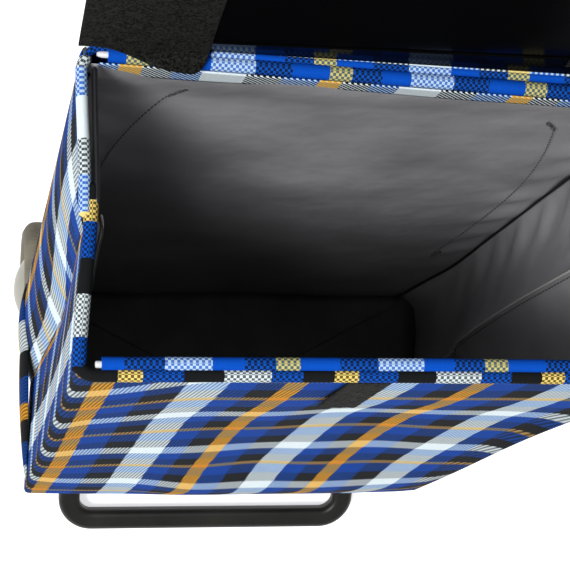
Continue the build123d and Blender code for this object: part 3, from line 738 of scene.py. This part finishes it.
def bag_walls(name, inset, top_z, low_z, material, thickness, creased=0.0):
    """The bag's four walls as one tube of cloth or lining."""
    rows, uvs = [], []
    for z in np.linspace(low_z, top_z, WALL_LEVELS):
        ring, normal = bag_ring(z, inset)
        uvs.append(wall_uvs(ring, z))
        if creased:
            ring = hang_lining(ring, normal, z)
        row = np.column_stack([ring, np.full(len(ring), z)])
        if creased:
            held = smooth(top_z, top_z - 60, z) * smooth(low_z, low_z + 40, z)
            soft = ripple(row, 150, 3.1) + 0.4 * ripple(row, 70, 7.7)
            lean = ripple(row @ CREASE_TURN, 80, 1.3)
            push = creased * held * (0.55 + 0.5 * soft + 0.4 * lean)
            push += corner_puckers(ring, z)
            row[:, :2] -= normal * np.clip(push, 0, None)[:, None]
        rows.append(row)
    points = np.array(rows)
    uvs = np.array(uvs)
    points = np.concatenate([points, points[:, :1]], axis=1)
    # the last column carries on along the cloth, not back to its start
    past = uvs[:, -1:] * 2 - uvs[:, -2:-1]
    uvs = np.concatenate([uvs, past], axis=1)
    made = build_mesh(name, points, grid_faces(*points.shape[:2], flip=True), material, uvs)
    weld(made)
    thicken(made, thickness)
    return made


def add_bag_walls():
    """Outer cloth and inner lining of the bag."""
    cloth = bag_walls("bag_cloth", 0.0, RIM_Z - 6, BOTTOM_Z + 3, "tartan_cloth", CLOTH_THICKNESS)
    on_bag(cloth, "bag_front_panel", "bag_back_panel", "bag_left_side", "bag_right_side")
    lining = bag_walls("bag_lining", LINING_INSET, RIM_Z - 8, BOTTOM_Z + 4, "black_lining",
                       LINING_THICKNESS, creased=2.6)
    on_bag(lining)


def ring_disc(name, z, inset, dish, material, thickness):
    """Flat piece that fills the bag's outline at a height, in rings, and rises to its middle."""
    rings = 14
    outline, _ = bag_ring(z, inset)
    centre = outline.mean(axis=0)
    rows = []
    for k in range(rings):
        share = 1 - k / (rings - 1) * 0.999
        ring = centre + (outline - centre) * share
        height = np.full(len(ring), z + dish * (1 - share**2))
        rows.append(np.column_stack([ring, height]))
    points = np.array(rows)
    uvs = points[:, :, :2].copy()
    uvs[:, :, 1] += BAG_HEIGHT
    faces = grid_faces(*points.shape[:2], close_columns=True)
    made = build_mesh(name, points, faces, material, uvs)
    thicken(made, thickness)
    return made


def add_bag_floor():
    """Bottom cloth, and the board that lies inside it under the lining."""
    base = ring_disc("bag_base_cloth", BOTTOM_Z + 2.5, 0.6, -1.0, "tartan_cloth", CLOTH_THICKNESS)
    on_bag(base, "bag_bottom")
    board_z = BOTTOM_Z + 6.5
    board = ring_disc("floor_board", board_z, 3.4, 1.2, "board_plastic", 2.0)
    on_bag(board, "base_board")
    # pale edge along the back of the board
    outline, _ = bag_ring(board_z, 4.2)
    back = outline[outline[:, 1] > BACK_Y - 12]
    back = back[np.argsort(back[:, 0])]
    path = np.column_stack([back, np.full(len(back), BOTTOM_Z + 7.2)])
    edge = swept("floor_board_edge", path, np.tile(oval(2.2, 2.2, 10), (len(path), 1, 1)),
                 "rod_plastic")
    on_bag(edge)


# ---- rim: sleeves, hems and side edges ----
# each strip of the rim is cut from its own part of the cloth: (cloth per millimetre, place at X = 0)
STRIPS = {
    "front_sleeve": (1.025, 18.2),
    "front_hem": (1.02, -16.0),
    "back_sleeve": (-1.045, 48.8),
    "back_hem": (1.055, -8.2),
    "back_inner_strip": (-1.06, 42.7),
}
HEM_CORNER = -194.0                 # the front hem's left end is turned in a black stripe
REAR_ROLL_START = -2.9              # place on the cloth of the rear rolls at Y = 0
BACK_SLEEVE_SKEW = 0.012            # the back sleeve's right end lies further forward
BLUE_ROW = WEFT_START + 0.72 * WEFT_PERIOD      # middle of a blue row, down the cloth
BLACK_ROW = WEFT_START + 0.907 * WEFT_PERIOD    # middle of a black row
WHITE_ROW = WEFT_START + 0.0875 * WEFT_PERIOD   # middle of a white row


def strip_across(strip, x):
    """Place on the cloth along a strip."""
    gather, start = STRIPS[strip]
    return gather * x + start


def oval(width, height, steps=20):
    """Oval section, starting at its top."""
    angle = np.linspace(0, 2 * np.pi, steps, endpoint=False)
    return np.column_stack([width / 2 * np.sin(angle), height / 2 * np.cos(angle)])


def rim_roll(name, path, width, height, row, reach, across, material="checks", cut_ends=False):
    """Padded roll of cloth along a path, reach millimetres of cloth round one row of the sett."""
    section = oval(width, height)
    swell = 1 + 0.05 * ripple(path, 26, 5.0)
    along = path_lengths(path)
    from_end = np.clip(np.minimum(along, along[-1] - along) / 3.0 + 0.05, 0, 1)
    if not cut_ends:
        swell *= np.sqrt(1 - (1 - from_end) ** 2)
    sections = section[None] * swell[:, None, None]
    arc = path_lengths(np.concatenate([section, section[:1]]))
    arc = (arc / arc[-1] - 0.5) * reach + row
    uvs = np.stack(np.broadcast_arrays(across[:, None], arc[None, :]), axis=-1)
    roll = swept(name, path, sections, material, uvs)
    return roll


def eased_steps(start, end):
    """Places from start to end, closer together near both ends."""
    share = np.linspace(0, 1, 90)
    share -= 0.9 * np.sin(2 * np.pi * share) / (2 * np.pi)
    return start + (end - start) * share


def front_line(x_from, x_to, y, z, bow):
    """Path along the front rim, bowed a little in Y."""
    x = eased_steps(x_from, x_to)
    y = y + bow * np.sin((x - x_from) / (x_to - x_from) * np.pi)
    return np.column_stack([x, y, np.full(len(x), z)])


def back_line(x_from, x_to, off, z):
    """Path along the back rim, off millimetres in front of the back panel's face."""
    x = eased_steps(x_from, x_to)
    return np.column_stack([x, back_rim_y(x, 1.0) - off, np.full(len(x), z)])


def turned_ends(x, radius):
    """How far a hem's ends have turned round the bag's corners."""
    from_end = np.minimum(x - x[0], x[-1] - x)
    return radius * (1 - np.sqrt(1 - np.clip(1 - from_end / radius, 0, 1) ** 2))


def add_front_rim():
    """Rod sleeve and outer hem of the front rim."""
    sleeve_y = (SLEEVE_LOW[1] + SLEEVE_HIGH[1]) / 2
    path = front_line(SLEEVE_LOW[0] - 1.5, SLEEVE_HIGH[0] + 1.5, sleeve_y, SLEEVE_Z, 0.5)
    sleeve = rim_roll("front_sleeve", path, 8.6, 8.4, BLUE_ROW, 26,
                      strip_across("front_sleeve", path[:, 0]), cut_ends=True)
    ride(sleeve, "bag_front", "front_rod_sleeve")

    hem_low, hem_high = cad("bag_front_hem")
    path = front_line(hem_low[0] - 1, hem_high[0] - 3, FRONT_Y + 1.2, RIM_Z - 5.5, 0.4)
    path[:, 1] += turned_ends(path[:, 0], 9.0)
    hem = rim_roll("front_hem", path, 7.4, 10.0, BLACK_ROW, 26,
                   np.maximum(strip_across("front_hem", path[:, 0]), HEM_CORNER))
    ride(hem, "bag_front", "bag_front_hem")


def add_back_rim():
    """Sleeve with its rod, and outer hem with its stitched edge, of the back rim."""
    path = back_line(BACK_SLEEVE_LOW[0] + 3, BACK_SLEEVE_HIGH[0], 6.8, SLEEVE_Z)
    path[:, 1] -= BACK_SLEEVE_SKEW * path[:, 0]
    sleeve = rim_roll("back_sleeve", path, 8.8, 8.6, BLUE_ROW, 26,
                      strip_across("back_sleeve", path[:, 0]), cut_ends=True)
    ride(sleeve, "frame", "back_rod_sleeve")

    rod_low, rod_high = cad("back_mouth_rod")
    lengthen = (rod_high[0] - rod_low[0]) / (path[-1, 0] - path[0, 0])
    ends = np.array([path[0], path[-1]])
    middle = ends.mean(axis=0)
    ends = middle + (ends - middle) * lengthen
    shares = np.array([0, 0.004, 0.01, 0.5, 0.99, 0.996, 1])
    taper = np.array([0.55, 0.85, 1, 1, 1, 0.85, 0.55])
    rod_path = ends[0] + (ends[1] - ends[0]) * shares[:, None]
    rod = swept("back_rod", rod_path, oval(4, 4, 16)[None] * taper[:, None, None], "rod_plastic")
    ride(rod, "frame", "back_mouth_rod")

    hem_low, hem_high = cad("bag_back_hem")
    path = back_line(hem_low[0] + 2, hem_high[0] + 6, 0.8, RIM_Z - 4.5)
    path[:, 1] -= turned_ends(path[:, 0], 9.0)
    hem = rim_roll("back_hem", path, 6.0, 9.0, BLUE_ROW, 24, strip_across("back_hem", path[:, 0]))
    ride(hem, "frame", "bag_back_hem")
    path = path + np.array([0, 2.2, 4.0])
    edge = rim_roll("back_hem_edge", path, 2.0, 1.6, WHITE_ROW, 4,
                    strip_across("back_hem", path[:, 0]))
    ride(edge, "frame")


def add_back_strip():
    """The back sleeve's cloth, turned down on the inside of the back wall."""
    x = np.linspace(BACK_SLEEVE_LOW[0] - 2, BACK_SLEEVE_HIGH[0] + 4, 90)
    x_grid, down_grid = np.meshgrid(x, np.linspace(0, 1, 8))
    drop = 15.0 + 4.0 * smooth(0, -120, x_grid) + 1.0 * np.sin(x_grid / 25)
    y = back_rim_y(x_grid, 1.0) - BACK_SLEEVE_SKEW * x_grid - 11.2 + 1.2 * down_grid
    points = np.stack([x_grid, y, SLEEVE_Z - 1.5 - drop * down_grid], axis=-1)
    uvs = np.stack([strip_across("back_inner_strip", x_grid),
                    WHITE_ROW + drop * (down_grid - 0.5)], axis=-1)
    strip = grid_sheet("back_inner_strip", points, uvs, "dashes", CLOTH_THICKNESS)
    ride(strip, "frame")


def side_edge(y, side, z=RIM_Z - 6):
    """X of a side's plane at a height, from front corner to back corner."""
    low, high = bag_corners(z)[[FRONT_CORNERS[side], BACK_CORNERS[side]]]
    share = (y - low[1]) / (high[1] - low[1])
    return low[0] + (high[0] - low[0]) * share


def add_side_rims():
    """Rolled top edges of the side panels: the rear half overlaps the front half at the crease."""
    for side, sign in SIDES.items():
        y = np.linspace(FRONT_Y + 2, CREASE_Y + 14, 60)
        across = panel_across(sign * HALF_WIDTH, RIM_Z) + sign * np.abs(y - FRONT_Y) * CLOTH_GATHER
        add_side_roll(side, "front", y, 1.2 + 6.0 * smooth(FRONT_Y, CREASE_Y + 14, y), 5.0, 8.0,
                      BLACK_ROW, across)
        y = np.linspace(CREASE_Y - 6, BACK_Y - 1, 60)
        add_side_roll(side, "rear", y, 3.2 * smooth(BACK_Y, CREASE_Y, y), 4.5, 7.0,
                      WHITE_ROW, 1.08 * y + REAR_ROLL_START)
        # black turned edge of the lining along the rear half
        y = np.linspace(CREASE_Y, BACK_Y - 8, 40)
        x = side_edge(y, side) - sign * (7.6 + 2.0 * smooth(BACK_Y, CREASE_Y, y))
        path = np.column_stack([x, y, np.full(len(y), RIM_Z - 4.5)])
        on_bag(rim_roll(f"{side}_lining_edge", path, 4.0, 8.0, BLACK_ROW, 4, y, "lining_edge"))


def add_side_roll(side, half, y, inward, drop, width, row, across):
    """Half of a side's rolled edge, inward from the side's plane and drop below the rim."""
    # the rear end turns in to meet the back hem
    inward = inward + 3.0 * smooth(BACK_Y - 9, BACK_Y - 1, y)
    x = side_edge(y, side) - SIDES[side] * inward
    path = np.column_stack([x, y, np.full(len(y), RIM_Z - drop)])
    on_bag(rim_roll(f"{side}_{half}_rim", path, width, 10.0, row, 26, across))


# ---- lid, lip and wings ----
LID_HALF = cad("lid_panel")[1][0]
LID_AXIS = np.array(JOINTS["lid_hinge"]["pos_m"]) / MM
LID_TILT = math.radians(5)          # the open lid leans back
LID_UP = np.array([0, math.sin(LID_TILT), math.cos(LID_TILT)])
LID_FACE = np.array([0, -math.cos(LID_TILT), math.sin(LID_TILT)])
LID_LENGTH = 188.0                  # from the lid's hinge to the lip's fold
LIP_LENGTH = 70.0
BOARD_THICKNESS = 5.0
HINGE_CLOTH = 24.0                  # how much cloth spans the gap between bag and lid
LIP_HINGE_CLOTH = 16.0


def lid_point(x, up, out):
    """Point of the open lid: across, up from its hinge, and out from its lining."""
    base = np.array([0, LID_AXIS[1], LID_AXIS[2]])
    up = np.asarray(up, float)[..., None]
    out = np.asarray(out, float)[..., None]
    x = np.asarray(x, float)[..., None]
    return base + x * np.array([1.0, 0, 0]) + up * LID_UP + out * LID_FACE


def rounded_outline(half_x, half_y, corner, count):
    """Evenly spaced points round a rectangle with rounded corners."""
    turn = np.linspace(0, np.pi / 2, 8)
    spots = []
    for quarter, (sx, sy) in enumerate(((1, 1), (-1, 1), (-1, -1), (1, -1))):
        angles = turn + quarter * np.pi / 2
        centre = np.array([sx * (half_x - corner), sy * (half_y - corner)])
        spots.append(centre + corner * np.column_stack([np.cos(angles), np.sin(angles)]))
    return resample(np.concatenate(spots), count)


def soft_board(name, x_range, up_range, out_face, thickness, crown, corner, material):
    """Cloth-covered board: flat panel with rounded corners, crowned faces and soft edges."""
    half_x = (x_range[1] - x_range[0]) / 2
    half_up = (up_range[1] - up_range[0]) / 2
    count = 160
    # the rounded edge: inset from the outline, and share of the half thickness there
    edge = ((0.0, 0.0), (0.25, 0.55), (0.9, 0.9), (2.4, 1.0))
    rings = []
    for side in (1, -1):
        for inset, depth in edge if side > 0 else edge[1:]:
            outline = rounded_outline(half_x - inset, half_up - inset, max(corner - inset, 0.5),
                                      count)
            rings.append((outline, side * depth * thickness / 2))
        for share in (0.85, 0.65, 0.45, 0.25, 0.08):
            lift = crown * (1 - share**2) * side
            rings.append((outline * share, side * thickness / 2 + lift))
    points, uvs = [], []
    for ring, out in rings:
        x = sum(x_range) / 2 + ring[:, 0]
        up = sum(up_range) / 2 + ring[:, 1]
        wobble = 0.5 * ripple(np.column_stack([x, up, np.zeros(count)]), 60, 2.0)
        wobble *= abs(out) > 0.4 * thickness
        points.append(lid_point(x, up, out_face - thickness / 2 + out + wobble))
        uvs.append(np.column_stack([panel_across(x, RIM_Z), -up]))
    half = (len(rings) + 1) // 2
    faces = grid_faces(half, count, close_columns=True, flip=True)
    # the back half starts again from the widest ring
    second = [0, *range(half, len(rings))]
    for a, b in zip(second[:-1], second[1:]):
        faces.extend(bridge(a * count, b * count, count))
    faces.append(tuple((half - 1) * count + k for k in reversed(range(count))))
    faces.append(tuple((len(rings) - 1) * count + k for k in range(count)))
    return build_mesh(name, points, faces, material, uvs)


def resample(points, count):
    """The same closed outline with evenly spaced points."""
    closed = np.concatenate([points, points[:1]])
    steps = path_lengths(closed)
    places = np.linspace(0, steps[-1], count, endpoint=False)
    return np.column_stack([np.interp(places, steps, closed[:, k]) for k in range(closed.shape[1])])


def add_lid():
    """Lid panel with its glossy lining, and the lip at its end."""
    across = (-LID_HALF, LID_HALF)
    panel = soft_board("lid_cover", across, (3, LID_LENGTH), -1.3, BOARD_THICKNESS, 0.6, 6,
                       "tartan_cloth")
    ride(panel, "lid", "lid_panel")
    lining = soft_board("lid_lining_sheet", (-LID_HALF + 2, LID_HALF - 2), (4, LID_LENGTH - 2),
                        -0.2, 1.0, 0.25, 6, "gloss_lining")
    ride(lining, "lid", "lid_lining")
    lip = soft_board("lip_cover", across, (LID_LENGTH + 2, LID_LENGTH + 2 + LIP_LENGTH), -1.3,
                     BOARD_THICKNESS, 0.5, 14, "tartan_cloth")
    ride(lip, "lip", "lid_lip")


def add_hinge_cloths():
    """Glossy cloth hinges: bag to lid, and lid to lip."""
    x = np.linspace(-LID_HALF + 4, LID_HALF - 4, 80)
    x_grid, share = np.meshgrid(x, np.linspace(0, 1, 14))
    uvs = np.stack([x_grid, share * HINGE_CLOTH], axis=-1)
    rim_y = back_rim_y(x_grid, 1.0) + 0.8
    low = np.stack([x_grid, rim_y, np.full(x_grid.shape, RIM_Z - 5)], axis=-1)
    high = lid_point(x_grid, 8.0 + 0 * x_grid, 0.6 + 0 * x_grid)
    hinge = grid_sheet("lid_hinge_cloth", low + (high - low) * share[..., None], uvs,
                       "gloss_lining", CLOTH_THICKNESS)
    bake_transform(hinge)

    up = LID_LENGTH - 6 + share * LIP_HINGE_CLOTH
    points = lid_point(x_grid, up, -1.0 - 0.6 * np.sin(share * np.pi))
    fold = grid_sheet("lip_hinge_cloth", points, uvs, "gloss_lining", CLOTH_THICKNESS)
    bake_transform(fold)


# ---- seams, stitches and low folds ----
def lining_surface(x, z):
    """Y of the lining on the back wall, just off its face."""
    t = rise(z)
    face = back_rim_y(x, t) + back_relief(x, z)
    return face - LINING_INSET - back_gap(z) - 3.2


def stitch_mesh(name, path, length, gap, radius):
    """A row of stitches: short rounded dashes of dark thread along a path of points."""
    path = np.asarray(path, float)
    steps = path_lengths(path)
    points, faces = [], []
    around = np.linspace(0, 2 * np.pi, 6, endpoint=False)
    place = 0.0
    while place + length < steps[-1]:
        spots = [np.array([np.interp(place + length * k, steps, path[:, axis]) for axis in range(3)])
                 for k in (0, 0.2, 0.8, 1)]
        ahead = (spots[-1] - spots[0]) / np.linalg.norm(spots[-1] - spots[0])
        side = np.cross(ahead, (0, 1.0, 0))
        side /= np.linalg.norm(side)
        lift = np.cross(side, ahead)
        base = len(points)
        for spot, size in zip(spots, (0.3, 1, 1, 0.3)):
            for angle in around:
                points.append(spot + radius * size * (side * np.cos(angle) + lift * np.sin(angle)))
        faces.extend(grid_faces(4, 6, close_columns=True, start=base))
        faces.append(tuple(base + k for k in reversed(range(6))))
        faces.append(tuple(base + 18 + k for k in range(6)))
        place += length + gap
    return build_mesh(name, points, faces, "dark_thread")


SEAM_FOOT_Z = 321.0                 # the lining's back seams, from their foot
SEAM_BEND_Z = 490.0                 # past the height where they stand furthest apart
SEAM_TOP_Z = {"left": 690.0, "right": 668.0}
SEAM_X = {"left": 149.0, "right": 155.0}


def add_lining_stitches():
    """The seam that boxes each back corner of the lining, with a bar tack at each end."""
    for side, sign in SIDES.items():
        z = np.linspace(SEAM_FOOT_Z, SEAM_TOP_Z[side], 60)
        above = 23 * ((z - SEAM_BEND_Z) / 178) ** 2
        below = 8 * ((SEAM_BEND_Z - z) / 170) ** 2
        x = sign * (SEAM_X[side] - np.where(z > SEAM_BEND_Z, above, below))
        path = np.column_stack([x, lining_surface(x, z), z])
        on_bag(stitch_mesh(f"{side}_lining_seam", path, 4.2, 1.6, 0.55))
        for end, spot, lean in (("top", path[-1], -0.8), ("foot", path[0], 0.4)):
            bar = [spot + np.array([sign * (1.2 * (k % 2) + lean * k), -0.5, 1.1 * k])
                   for k in range(14)]
            on_bag(stitch_mesh(f"{side}_lining_tack_{end}", bar, 2.4, 0.2, 0.9))


def add_corner_seams():
    """Corded seams down the lining's two back corners."""
    for side, sign in SIDES.items():
        path = []
        for z in np.linspace(BOTTOM_Z + 8, RIM_Z - 20, 60):
            corner = bag_corners(z)[BACK_CORNERS[side]]
            path.append((corner[0] - sign * (5.2 + corner_tuck(z)), corner[1] - 5.2 - back_gap(z), z))
        path = np.array(path)
        path[:, 0] += 0.8 * ripple(path, 40, 6.0)
        on_bag(swept_cord(f"{side}_corner_seam", path, 1.1, "lining_edge", capped=False))


BASE_ROLL_Z = 172.0                 # height of the low folds' middle line
BASE_ROLL_START = -108.5            # place on the cloth of the left one at Y = 0


def add_base_rolls():
    """The sides' lower edges, gathered into a soft fold above the floor."""
    for side, sign in SIDES.items():
        y = np.linspace(FRONT_Y + 8, BACK_Y - 6, 90)
        share = (y - y[0]) / (y[-1] - y[0])
        swell = np.clip(np.sin(np.pi * share), 0.03, 1) ** 0.6
        out = np.clip(side_relief(y, BASE_ROLL_Z), 0, 4)
        path = np.column_stack([side_edge(y, side, BASE_ROLL_Z) + sign * out, y,
                                BASE_ROLL_Z + 4 * np.sin(share * 7)])
        section = oval(13, 62, 28)
        # the wall side of the roll is nearly flat
        section[section[:, 0] * sign < 0, 0] *= 0.15
        closed = np.concatenate([section, section[:1]])
        across = BASE_ROLL_START + 0.985 * y
        down = RIM_Z - BASE_ROLL_Z - closed[None, :, 1]
        if side == "right":
            # this fold carries on the stripes of the wall that it lies against
            across = panel_across(HALF_WIDTH, BASE_ROLL_Z) + (y - FRONT_Y) * CLOTH_GATHER
            down = RIM_Z - path[:, 2:3] - closed[None, :, 1] * swell[:, None]
        uvs = np.stack(np.broadcast_arrays(across[:, None], down), axis=-1)
        roll = swept(f"{side}_base_roll", path, section[None] * swell[:, None, None],
                     "tartan_cloth", uvs)
        on_bag(roll)


def add_fold_stitches():
    """A row of stitches down the fold in the middle of each side of the lining, beside a pale cord whose colour is
    a painted highlight on the crease.
    """
    for side, sign in SIDES.items():
        path = []
        for z in np.linspace(BOTTOM_Z + 150, RIM_Z - 30, 60):
            ring, normal = bag_ring(z, LINING_INSET)
            ring = hang_lining(ring, normal, z)
            wall = ring[(np.sign(ring[:, 0]) == sign) & (np.abs(normal[:, 0]) > 0.9)]
            spot = wall[np.argmin(np.abs(wall[:, 1] - CREASE_Y))]
            path.append((spot[0] - sign * 3.6, spot[1], z))
        path = np.array(path)
        # pale cord on the crease's ridge: its pale colour is a painted highlight of the fold
        on_bag(swept_cord(f"{side}_fold_highlight_cord", path, 0.7, "crease_highlight_thread"))
        on_bag(stitch_mesh(f"{side}_fold_seam", path - np.array([0, 4.0, 0]), 3.4, 1.8, 0.5))


# ---- patches, loops and grip ----
# node: (body, material, voxel size, height of the nap or of the foam's dents)
SOFT_TABS = {
    "front_loop_patch": ("bag_front", "black_velour", 0.9, 0.35),
    "bag_tube_loops": ("frame", "black_velour", 1.1, 0.25),
    "lip_hook_strip": ("lip", "black_velour", 1.1, 0.35),
    "handle_grip": ("handle", "soft_grip", 1.2, 0.3),
}


def add_soft_tabs():
    """Fabric patches and loops, and the foam grip: the CAD solids, softened and made uneven."""
    for node, (body, material, voxel, nap) in SOFT_TABS.items():
        source = frame["nodes"][node]
        piece = bpy.data.objects.new(f"{node}_soft", source.data.copy())
        piece.matrix_world = source.matrix_world
        bpy.context.scene.collection.objects.link(piece)
        remesh = piece.modifiers.new("even", "REMESH")
        remesh.mode = "VOXEL"
        remesh.voxel_size = voxel * MM
        soften = piece.modifiers.new("soften", "SMOOTH")
        soften.iterations = 3
        apply_modifiers(piece)
        data = piece.data
        spots = np.zeros((len(data.vertices), 3))
        normals = np.zeros_like(spots)
        data.vertices.foreach_get("co", spots.ravel())
        data.vertex_normals.foreach_get("vector", normals.ravel())
        push = nap * ripple(spots / MM, 2.6, 9.0) + 0.4 * nap * ripple(spots / MM, 14.0, 3.0)
        spots += normals * push[:, None] * MM
        data.vertices.foreach_set("co", spots.ravel())
        data.polygons.foreach_set("use_smooth", [True] * len(data.polygons))
        data.materials.clear()
        data.materials.append(MATERIALS[material])
        data.update()
        ride(piece, body, node)


WING_PROUD = 4.0                    # how far a wing stands out past the lid's side


def wing_overhang(share):
    """Cloth past the lid's lower edge, from the wing's outer edge (0) to its inner edge (1)."""
    near_corner = np.clip((share - 0.86) / 0.14, 0, 1)
    return 1.0 + 16.0 * smooth(0, 0.9, share) - 13.0 * (1 - np.sqrt(1 - near_corner**2))


def add_wings():
    """Velour wings folded flat on the lid; the left one hangs over the back rim."""
    for side, sign in SIDES.items():
        low, high = cad(f"lid_{side}_wing")
        x_grid, row_grid = np.meshgrid(np.linspace(0, 1, 60), np.linspace(0, 1, 120))
        hang = wing_overhang(x_grid) if side == "left" else 2.0 + 0 * x_grid
        # distance along the cloth, up from the lid's lower edge
        s = -hang + row_grid * (LID_LENGTH - 4 + hang)
        width = high[0] - low[0] + WING_PROUD
        outer = (low[0] if side == "left" else high[0]) + sign * WING_PROUD
        x = outer - sign * x_grid * width
        bend, start = 6.0, 3.0      # radius of the fold over the lid's edge, and where it starts
        turn = np.clip((-s - start) / bend, 0, np.pi / 2)
        past = np.clip(-s - start - bend * np.pi / 2, 0, None)
        up = np.where(s > -start, s, -start - bend * np.sin(turn))
        out = 1.6 + bend * (1 - np.cos(turn)) + past
        points = lid_point(x, up, out)
        points[:, :, 1] += 0.5 * ripple(points, 34, 4.0) * smooth(0, 0.15, row_grid)
        points[:, :, 2] += 1.2 * np.sin(x_grid * 9.0) * smooth(12, 0, s)
        uvs = np.stack([x, s], axis=-1)
        wing = grid_sheet(f"{side}_wing", points, uvs, "black_velour", 1.8, flip=sign > 0)
        ride(wing, f"{side}_wing", f"lid_{side}_wing")


# ---- tyres ----
RIBS = 90


def add_tyres():
    """Solid rubber tyres with curved cross ribs moulded into the tread."""
    for side in SIDES:
        low, high = cad(f"{side}_tyre")
        middle = (low + high) / 2
        half = (high[0] - low[0]) / 2
        radius = (high[2] - low[2]) / 2
        inner = radius - 14
        # profile points: place along the axle, radius, and how deep the grooves are there
        profile = [(x * half, radius - 10.0 * abs(x) ** 3.2, 1 - abs(x) ** 6)
                   for x in np.linspace(-1, 1, 21)]
        profile += [(half - 1, inner + 1, 0), (half - 4, inner, 0),
                    (-half + 4, inner, 0), (-half + 1, inner + 1, 0)]
        along, crown, ribbed = np.array(profile).T
        steps = RIBS * 8
        angle = np.linspace(0, 2 * np.pi, steps, endpoint=False)[:, None]
        # each rib bows back towards the shoulders
        phase = (angle + 0.045 * (along / half) ** 2) * RIBS
        r = crown - 0.9 * smooth(0.2, -0.6, np.sin(phase)) * ribbed
        x = np.broadcast_to(middle[0] + along, r.shape)
        points = np.stack([x, middle[1] + r * np.sin(angle), middle[2] + r * np.cos(angle)], axis=-1)
        count = len(profile)
        faces = grid_faces(steps, count, close_columns=True)
        faces.extend(bridge((steps - 1) * count, 0, count))
        tyre = build_mesh(f"{side}_tread", points, faces, "tyre_rubber")
        ride(tyre, f"{side}_wheel", f"{side}_tyre")


# ---- CAD nodes that keep their own shape ----
def dress_cad_nodes():
    """Better materials for the CAD nodes that stay."""
    for part in frame["record"]["subparts"]:
        node = frame["nodes"][part["node"]]
        for slot in node.material_slots:
            slot.material = MATERIALS[part["material_slot"]]


def add_floor():
    """White floor, bright enough to read as a plain studio sweep."""
    paper = Shader("paper", (0.93, 0.93, 0.93), 0.9, Emission_Strength=0.55)
    paper.bsdf.inputs["Emission Color"].default_value = (1, 1, 1, 1)
    half, z = 4000, -0.3
    corners = [(-half, -half, z), (half, -half, z), (half, half, z), (-half, half, z)]
    floor = build_mesh("floor", corners, [(0, 1, 2, 3)])
    floor.data.materials.append(paper.material)


add_camera()
add_world(0.5)
add_area_light("key", (-1.2, -1.1, 2.75), (0.05, 0, 0.55), 0.8, 74)
bpy.context.scene.view_settings.view_transform = "Standard"
dress_cad_nodes()
add_bag_walls()
add_bag_floor()
add_front_rim()
add_back_rim()
add_back_strip()
add_side_rims()
add_lid()
add_hinge_cloths()
add_lining_stitches()
add_corner_seams()
add_base_rolls()
add_fold_stitches()
add_soft_tabs()
add_wings()
add_tyres()
add_floor()
